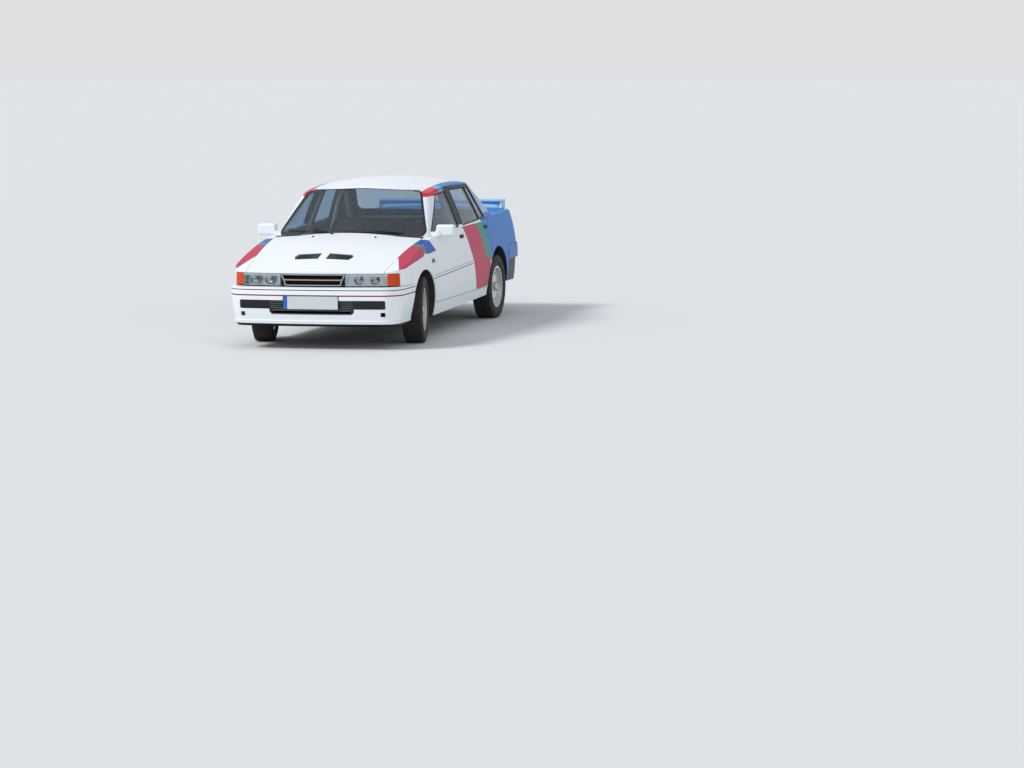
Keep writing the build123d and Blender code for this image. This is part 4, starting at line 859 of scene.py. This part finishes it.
def bucket(name, way):
    """A glass-fibre shell: a floor that curves up into sides, one thickness all over."""
    sections = []
    for y, z, lean, half, deep in BUCKET:
        outer = [(-half - 18, deep + 14), (-half - 10, 26), (-half + 30, 0), (0, -6), (half - 30, 0), (half + 10, 26),
                 (half + 18, deep + 14)]
        inner = [(half + 8, deep + 12), (half, 30), (half - 34, 9), (0, 3), (-half + 34, 9), (-half, 30),
                 (-half - 8, deep + 12)]
        sections.append([seat_point(y, z, lean, a, u) for a, u in outer + inner])
    mesh = sweep_section(name, sections, False, True)
    mirror_mesh(mesh, way)
    return piece(name, mesh, SHELL_PLASTIC)


def mirror_mesh(mesh, way):
    """Takes a mesh drawn for the left seat to the seat on that side."""
    if way < 0:
        mesh.transform(Matrix.Scale(-1, 4, (1, 0, 0)))
        mesh.flip_normals()


def pad_mesh(name, rows, half, thick):
    """A closed pad that follows rows of the bucket, drawn a little small so that it can swell."""
    sections = []
    for y, z, lean, width_share in rows:
        w = half * width_share
        ring = [(-w, 14), (0, 10), (w, 14), (w + 6, 14 + thick / 2), (w - 14, 14 + thick), (0, 10 + thick * 0.8),
                (-w + 14, 14 + thick), (-w - 6, 14 + thick / 2)]
        sections.append([seat_point(y, z, lean, a, u) for a, u in ring])
    return sweep_section(name, sections, False, True)


def applied(obj):
    """Puts what an object's modifiers make in place of its mesh."""
    graph = bpy.context.evaluated_depsgraph_get()
    made = bpy.data.meshes.new_from_object(obj.evaluated_get(graph))
    old = obj.data
    obj.modifiers.clear()
    obj.data = made
    bpy.data.meshes.remove(old)


CLOTH_FRAMES = 20
PAD_VOXEL = 0.006
PAD_PRESSURE = 4.0


def stuffed(obj, cap):
    """Blows the pad up as cloth round stuffing; no point moves further than cap."""
    remesh = obj.modifiers.new("remesh", "REMESH")
    remesh.mode = "VOXEL"
    remesh.voxel_size = PAD_VOXEL
    applied(obj)
    before = [v.co.copy() for v in obj.data.vertices]
    cloth = obj.modifiers.new("cloth", "CLOTH")
    cloth.settings.use_pressure = True
    cloth.settings.uniform_pressure_force = PAD_PRESSURE
    cloth.settings.effector_weights.gravity = 0
    cloth.point_cache.frame_start = 1
    cloth.point_cache.frame_end = CLOTH_FRAMES
    scene = bpy.context.scene
    for number in range(1, CLOTH_FRAMES + 1):
        scene.frame_set(number)
    graph = bpy.context.evaluated_depsgraph_get()
    swollen = [v.co.copy() for v in obj.evaluated_get(graph).data.vertices]
    obj.modifiers.clear()
    scene.frame_set(1)
    for vertex, old, new in zip(obj.data.vertices, before, swollen):
        move = new - old
        vertex.co = old + move * min(1, cap / max(move.length, 1e-9))
    obj.modifiers.new("finer", "SUBSURF").levels = 1
    applied(obj)
    for face in obj.data.polygons:
        face.use_smooth = True


CHANNEL_HALF = 0.011
CHANNEL_DEPTH = 0.005
THREAD_INSET = 0.03


def sewn(obj, axis, lines):
    """Sewn channels across a pad: its cover is pulled in along each line, and a thread lies there."""
    mesh = obj.data
    facing = Vector((0, -1, 0)) if axis == 2 else Vector((0, 0, 1))
    for vertex in mesh.vertices:
        if vertex.normal.dot(facing) > 0.2:
            near = min(abs(vertex.co[axis] - line) for line in lines)
            if near < CHANNEL_HALF:
                vertex.co -= facing * CHANNEL_DEPTH * (1 - near / CHANNEL_HALF) ** 2
    cover = [surface_of(mesh)]
    across = [v.co.x for v in mesh.vertices]
    threads = []
    for line in lines:
        span = spread(min(across) + THREAD_INSET, max(across) - THREAD_INSET, 24)
        hits = meets(cover, [(x, -0.5, line) if axis == 2 else (x, line, 1.4) for x in span], -facing)
        threads.append(strip_mesh("thread", hits, 0.0025, 0.001))
    return threads


# Each pad: the axis and places of its channels, its sections as in BUCKET with a share of the half width,
# its half width and its thickness
PADS = {
    "seat_pad": (1, (-0.26, -0.17, -0.08), [(-335, 350, 84, 0.94), (-260, 338, 84, 1), (-150, 324, 84, 1),
                                            (-40, 318, 82, 1), (25, 324, 74, 0.96)], 165, 46),
    "back_pad": (2, (0.50, 0.58, 0.66, 0.74), [(128, 440, 20, 0.92), (146, 500, 16, 1), (168, 600, 14, 1),
                                               (192, 730, 12, 0.98), (210, 830, 12, 0.9)], 165, 42),
    "head_pad": (2, (0.965,), [(224, 908, 12, 0.9), (236, 965, 12, 1), (247, 1022, 12, 0.9)], 104, 34),
}


def seats():
    shells = [bucket("bucket_" + side, way) for side, way in SIDES]
    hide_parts("front_seats")
    for name, (axis, lines, rows, half, thick) in PADS.items():
        left = piece(name + "_left", pad_mesh(name, rows, half, thick), SEAT_CLOTH)
        stuffed(left, 0.014)
        threads = sewn(left, axis, lines)
        for thread in [t.copy() for t in threads]:
            mirror_mesh(thread, -1)
            threads.append(thread)
        joined(name + "_threads", threads, BELT_CLOTH)
        copy = left.data.copy()
        mirror_mesh(copy, -1)
        right = placed(name + "_right", copy)
        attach(right, "body")


seats()


# Harness: two shoulder belts and a lap belt on each seat, flat webbing with a buckle

BELT_TOP_Z = 895
LAP_Y = -20


def harness():
    for side, way in SIDES:
        seat = [surface_of(bpy.data.objects[name + side].data) for name in ("back_pad_", "seat_pad_", "bucket_")]
        middle = way * SEAT_X
        for index, offset in enumerate((-75, 75)):
            span = [(middle + offset * (1 - i / 28), BELT_TOP_Z - 31 * i) for i in range(15)]
            strip("shoulder_belt_%s_%d" % (side, index), hits_from_front(seat, span, -0.4), 0.075, 0.003, BELT_CLOTH)
        span = [(x, LAP_Y) for x in spread(middle - 150, middle + 150, 12)]
        strip("lap_belt_" + side, hits_from_above(seat, span, 0.9), 0.05, 0.003, BELT_CLOTH)
        place, normal = hits_from_above(seat, [(middle, LAP_Y)], 0.9)[0]
        strip("buckle_" + side, [(place + Vector((x * MM, 0, 0.003)), normal) for x in (-24, -8, 8, 24)], 0.044, 0.014,
              STEEL)


harness()


# Seat frames: two runners and four feet under each bucket

def rounded_box(name, low, high, edge, material, body="body"):
    """A box with rolled edges, given by two corners in mm."""
    build = bmesh.new()
    bmesh.ops.create_cube(build, size=1)
    for v in build.verts:
        v.co = Vector([(low[i] + high[i]) / 2 + v.co[i] * (high[i] - low[i]) for i in range(3)]) * MM
    bmesh.ops.bevel(build, geom=build.edges[:], offset=edge * MM, segments=3, affect="EDGES", profile=0.5)
    for face in build.faces:
        face.smooth = True
    mesh = bpy.data.meshes.new(name)
    build.to_mesh(mesh)
    build.free()
    return piece(name, mesh, material, body)


RUNNER_OFFSETS = (-190, 170)
RUNNER_FEET = [("front", -290), ("rear", 40)]  # name, y


def seat_frames():
    for side, way in SIDES:
        for index, offset in enumerate(RUNNER_OFFSETS):
            x0 = way * SEAT_X + offset
            rounded_box("runner_%s_%d" % (side, index), (x0, -320, 300), (x0 + 22, 90, 322), 3, CHASSIS)
            for place, y in RUNNER_FEET:
                rounded_box("runner_foot_%s_%d_%s" % (side, index, place), (x0 + 2, y, 237), (x0 + 20, y + 36, 302), 2,
                            CHASSIS)


seat_frames()


# Dashboard: a padded top, an instrument hood, air vents and a centre console

DASH_BOXES = [
    # name, low corner, high corner, edge radius, material
    ("dash_pad", (-655, -1000, 893), (655, -720, 915), 9, SOFT_DASH),
    ("instrument_hood", (215, -860, 905), (525, -672, 958), 16, SOFT_DASH),
    ("centre_stack", (-120, -715, 640), (120, -672, 898), 10, SOFT_DASH),
    ("tunnel_cover", (-95, -690, 338), (95, 120, 366), 10, SOFT_DASH),
    ("gear_lever", (-9, -330, 362), (9, -312, 520), 5, STEEL),
    ("gear_knob", (-22, -343, 510), (22, -299, 556), 18, BLACK_PLASTIC),
    ("brake_lever", (52, -300, 366), (72, -60, 392), 8, BLACK_PLASTIC),
]
AIR_VENTS_X = (-560, -60, 60, 560)


def dash_detail():
    for name, low, high, edge, material in DASH_BOXES:
        rounded_box(name, low, high, edge, material)
    for index, x in enumerate(AIR_VENTS_X):
        for row in range(4):
            z = 838 + row * 11
            rounded_box("air_vent_%d_%d" % (index, row), (x - 42, -694, z), (x + 42, -684, z + 5), 1.5, BLACK_PLASTIC)


dash_detail()


# Mirror glass, exhaust tail pipe and the plates' frames

TAIL_PIPE_PLACE = (0.34, 1.83, 0.225)
TAIL_PIPE = [(0.0, 0.028), (0.17, 0.028), (0.17, 0.025), (0.0, 0.025)]


def small_parts():
    rounded_box("plate_frame_front", (-266, -2283.5, 374), (266, -2278, 504), 2, BLACK_PLASTIC)
    rounded_box("plate_frame_rear", (-266, 2170, 736), (266, 2176.5, 858), 2, BLACK_PLASTIC, "boot_lid")
    for side, way in SIDES:
        low, high = sorted((way * 806, way * 950))
        rounded_box("mirror_glass_" + side, (low, -778, 962), (high, -773, 1046), 2, REFLECTOR, "door_front_" + side)
    piece("tail_pipe", lathe("tail_pipe", TAIL_PIPE, along_y(TAIL_PIPE_PLACE), 32), HOT_STEEL)


small_parts()


# Wheel nuts, hub caps and valves, each a profile of (x, radius)

CAP = [(0.064, 0.001), (0.082, 0.001), (0.081, 0.022), (0.076, 0.029), (0.064, 0.030)]
NUT = [(0.066, 0.001), (0.079, 0.001), (0.079, 0.007), (0.076, 0.0105), (0.066, 0.0105)]
VALVE = [(0.052, 0.0005), (0.078, 0.0005), (0.078, 0.004), (0.056, 0.0045), (0.052, 0.0045)]
NUT_CIRCLE_R = 0.0502
VALVE_CIRCLE_R = 0.165


def wheel_details():
    for wheel, way in WHEELS:
        body = "wheel_" + wheel
        place = wheel_frame(wheel) @ Matrix.Scale(way, 4, (1, 0, 0))
        piece("hub_cap_" + wheel, lathe("hub_cap", CAP, place, 36), ALLOY, body)
        for index in range(4):
            turned = Matrix.Rotation(math.radians(90 * index + 45), 4, "X")
            spot = place @ turned @ Matrix.Translation((0, 0, NUT_CIRCLE_R))
            piece("wheel_nut_%s_%d" % (wheel, index), lathe("nut", NUT, spot, 6, False), STEEL, body)
        spot = place @ Matrix.Translation((0, 0, VALVE_CIRCLE_R))
        piece("valve_" + wheel, lathe("valve", VALVE, spot, 12), BLACK_PLASTIC, body)


wheel_details()


# Tyres: a carcass with upright blocks round its tread

TYRE_R = 0.308
TREAD_DEPTH = 0.008
TYRE_PROFILE = [(0.0755, 0.1905), (0.0755, 0.203), (0.088, 0.206), (0.095, 0.228), (0.098, 0.252), (0.096, 0.272),
                (0.088, 0.292), (0.080, TYRE_R - TREAD_DEPTH - 0.001), (0.070, TYRE_R - TREAD_DEPTH)]
# Rows of blocks as (place across, width, phase)
TREAD_ROWS = [(-0.074, 0.024, 0.0), (-0.046, 0.024, 0.5), (-0.0155, 0.026, 0.0), (0.0155, 0.026, 0.5),
              (0.046, 0.024, 0.0), (0.074, 0.024, 0.5)]
BLOCKS_ROUND = 54
BLOCK_SHARE = 0.76  # of the pitch, the rest is groove
BLOCK_ROOT = 0.004  # sunk in the carcass
SHOULDER_DROP = 0.003


def block_ring_tree():
    """Geometry Nodes: one row of tread blocks round a tyre."""
    tree = bpy.data.node_groups.new("tread_row", "GeometryNodeTree")
    kinds = {"Geometry": "Geometry", "Count": "Int", "Radius": "Float", "Width": "Float", "Height": "Float",
             "Across": "Float", "Phase": "Float", "Material": "Material"}
    for name, kind in kinds.items():
        tree.interface.new_socket(name, in_out="INPUT", socket_type="NodeSocket" + kind)
    tree.interface.new_socket("Geometry", in_out="OUTPUT", socket_type="NodeSocketGeometry")
    given = add(tree, "NodeGroupInput")
    step = add(tree, "ShaderNodeMath", {0: 2 * math.pi, 1: given.outputs["Count"]}, operation="DIVIDE")
    arc = add(tree, "ShaderNodeMath", {0: step.outputs[0], 1: given.outputs["Radius"]}, operation="MULTIPLY")
    length = add(tree, "ShaderNodeMath", {0: arc.outputs[0], 1: BLOCK_SHARE}, operation="MULTIPLY")
    size = add(tree, "ShaderNodeCombineXYZ", {0: given.outputs["Width"], 1: length.outputs[0],
                                              2: given.outputs["Height"]})
    cube = add(tree, "GeometryNodeMeshCube", {"Size": size.outputs[0]})
    number = add(tree, "GeometryNodeInputIndex")
    counted = add(tree, "ShaderNodeMath", {0: number.outputs[0], 1: given.outputs["Phase"]}, operation="ADD")
    angle = add(tree, "ShaderNodeMath", {0: counted.outputs[0], 1: step.outputs[0]}, operation="MULTIPLY")
    out = []
    for wave in ("SINE", "COSINE"):
        part = add(tree, "ShaderNodeMath", {0: angle.outputs[0]}, operation=wave)
        out.append(add(tree, "ShaderNodeMath", {0: part.outputs[0], 1: given.outputs["Radius"]}, operation="MULTIPLY"))
    spot = add(tree, "ShaderNodeCombineXYZ", {0: given.outputs["Across"], 1: out[0].outputs[0], 2: out[1].outputs[0]})
    points = add(tree, "GeometryNodePoints", {"Count": given.outputs["Count"], "Position": spot.outputs[0]})
    back = add(tree, "ShaderNodeMath", {0: angle.outputs[0], 1: -1.0}, operation="MULTIPLY")
    facing = add(tree, "ShaderNodeCombineXYZ", {0: back.outputs[0]})
    ring = add(tree, "GeometryNodeInstanceOnPoints", {"Points": points.outputs[0], "Instance": cube.outputs["Mesh"],
                                                      "Rotation": facing.outputs[0]})
    real = add(tree, "GeometryNodeRealizeInstances", {0: ring.outputs[0]})
    finished = add(tree, "GeometryNodeSetMaterial", {"Geometry": real.outputs[0],
                                                     "Material": given.outputs["Material"]})
    leave = add(tree, "NodeGroupOutput")
    tree.links.new(finished.outputs[0], leave.inputs[0])
    return tree


def made_by(tree, values):
    """The plain mesh that a Geometry Nodes tree makes from named input values."""
    base = placed("base", bpy.data.meshes.new("base"))
    modifier = base.modifiers.new("nodes", "NODES")
    modifier.node_group = tree
    for item in tree.interface.items_tree:
        if item.item_type == "SOCKET" and item.in_out == "INPUT" and item.name in values:
            modifier[item.identifier] = values[item.name]
    graph = bpy.context.evaluated_depsgraph_get()
    mesh = bpy.data.meshes.new_from_object(base.evaluated_get(graph))
    bpy.data.objects.remove(base)
    return mesh


def tyres():
    tree = block_ring_tree()
    profile = TYRE_PROFILE + [(-x, r) for x, r in reversed(TYRE_PROFILE)]
    height = TREAD_DEPTH + BLOCK_ROOT
    for wheel, _ in WHEELS:
        body = "wheel_" + wheel
        place = wheel_frame(wheel)
        carcass = piece("tyre_carcass_" + wheel, lathe("tyre_carcass", profile, place, 96), RUBBER, body)
        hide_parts("tyre_" + wheel)
        rings = []
        for across, width, phase in TREAD_ROWS:
            radius = TYRE_R - height / 2 - (SHOULDER_DROP if abs(across) > 0.06 else 0)
            ring = made_by(tree, {"Count": BLOCKS_ROUND, "Radius": radius, "Width": width, "Height": height,
                                  "Across": across, "Phase": phase, "Material": RUBBER})
            ring.transform(place)
            rings.append(ring)
        joined("tread_" + wheel, rings, RUBBER, body)


tyres()


# Floor, background and light

FLOOR_HALF = 60


def stage():
    mesh = bpy.data.meshes.new("floor")
    half = FLOOR_HALF
    mesh.from_pydata([(-half, -half, 0), (half, -half, 0), (half, half, 0), (-half, half, 0)], [], [(0, 1, 2, 3)])
    mesh.materials.append(finish_of("studio_floor", "#DEDEDD", 0.9)[0])
    floor = placed("floor", mesh)


def soft_sun(name, direction, angle, strength):
    lamp_data = bpy.data.lights.new(name, "SUN")
    lamp_data.energy = strength
    lamp_data.angle = math.radians(angle)
    placed(name, lamp_data).rotation_euler = Vector(direction).to_track_quat("-Z", "Y").to_euler()


def pale_room():
    """Soft light from all round; seen directly, mirrored or through glass the room is plain and pale."""
    world = bpy.data.worlds.new("studio")
    world.use_nodes = True
    tree = world.node_tree
    ambient = tree.nodes["Background"]
    ambient.inputs["Color"].default_value = linear("#DCE6F2")
    ambient.inputs["Strength"].default_value = 0.6
    seen = add(tree, "ShaderNodeBackground", {"Color": linear("#DFE0E2"), "Strength": 1.0})
    path = add(tree, "ShaderNodeLightPath")
    looking = path.outputs["Is Camera Ray"]
    for ray in ("Is Glossy Ray", "Is Transmission Ray"):
        looking = add(tree, "ShaderNodeMath", {0: looking, 1: path.outputs[ray]}, operation="MAXIMUM").outputs[0]
    mix = add(tree, "ShaderNodeMixShader", {0: looking, 1: ambient.outputs[0], 2: seen.outputs[0]})
    tree.links.new(mix.outputs[0], tree.nodes["World Output"].inputs["Surface"])
    bpy.context.scene.world = world


stage()
soft_sun("key", (0.55, 0.42, -0.72), 16, 2.1)
soft_sun("fill", (-0.5, 0.6, -0.45), 60, 0.5)
pale_room()
bpy.context.scene.view_settings.view_transform = "Standard"
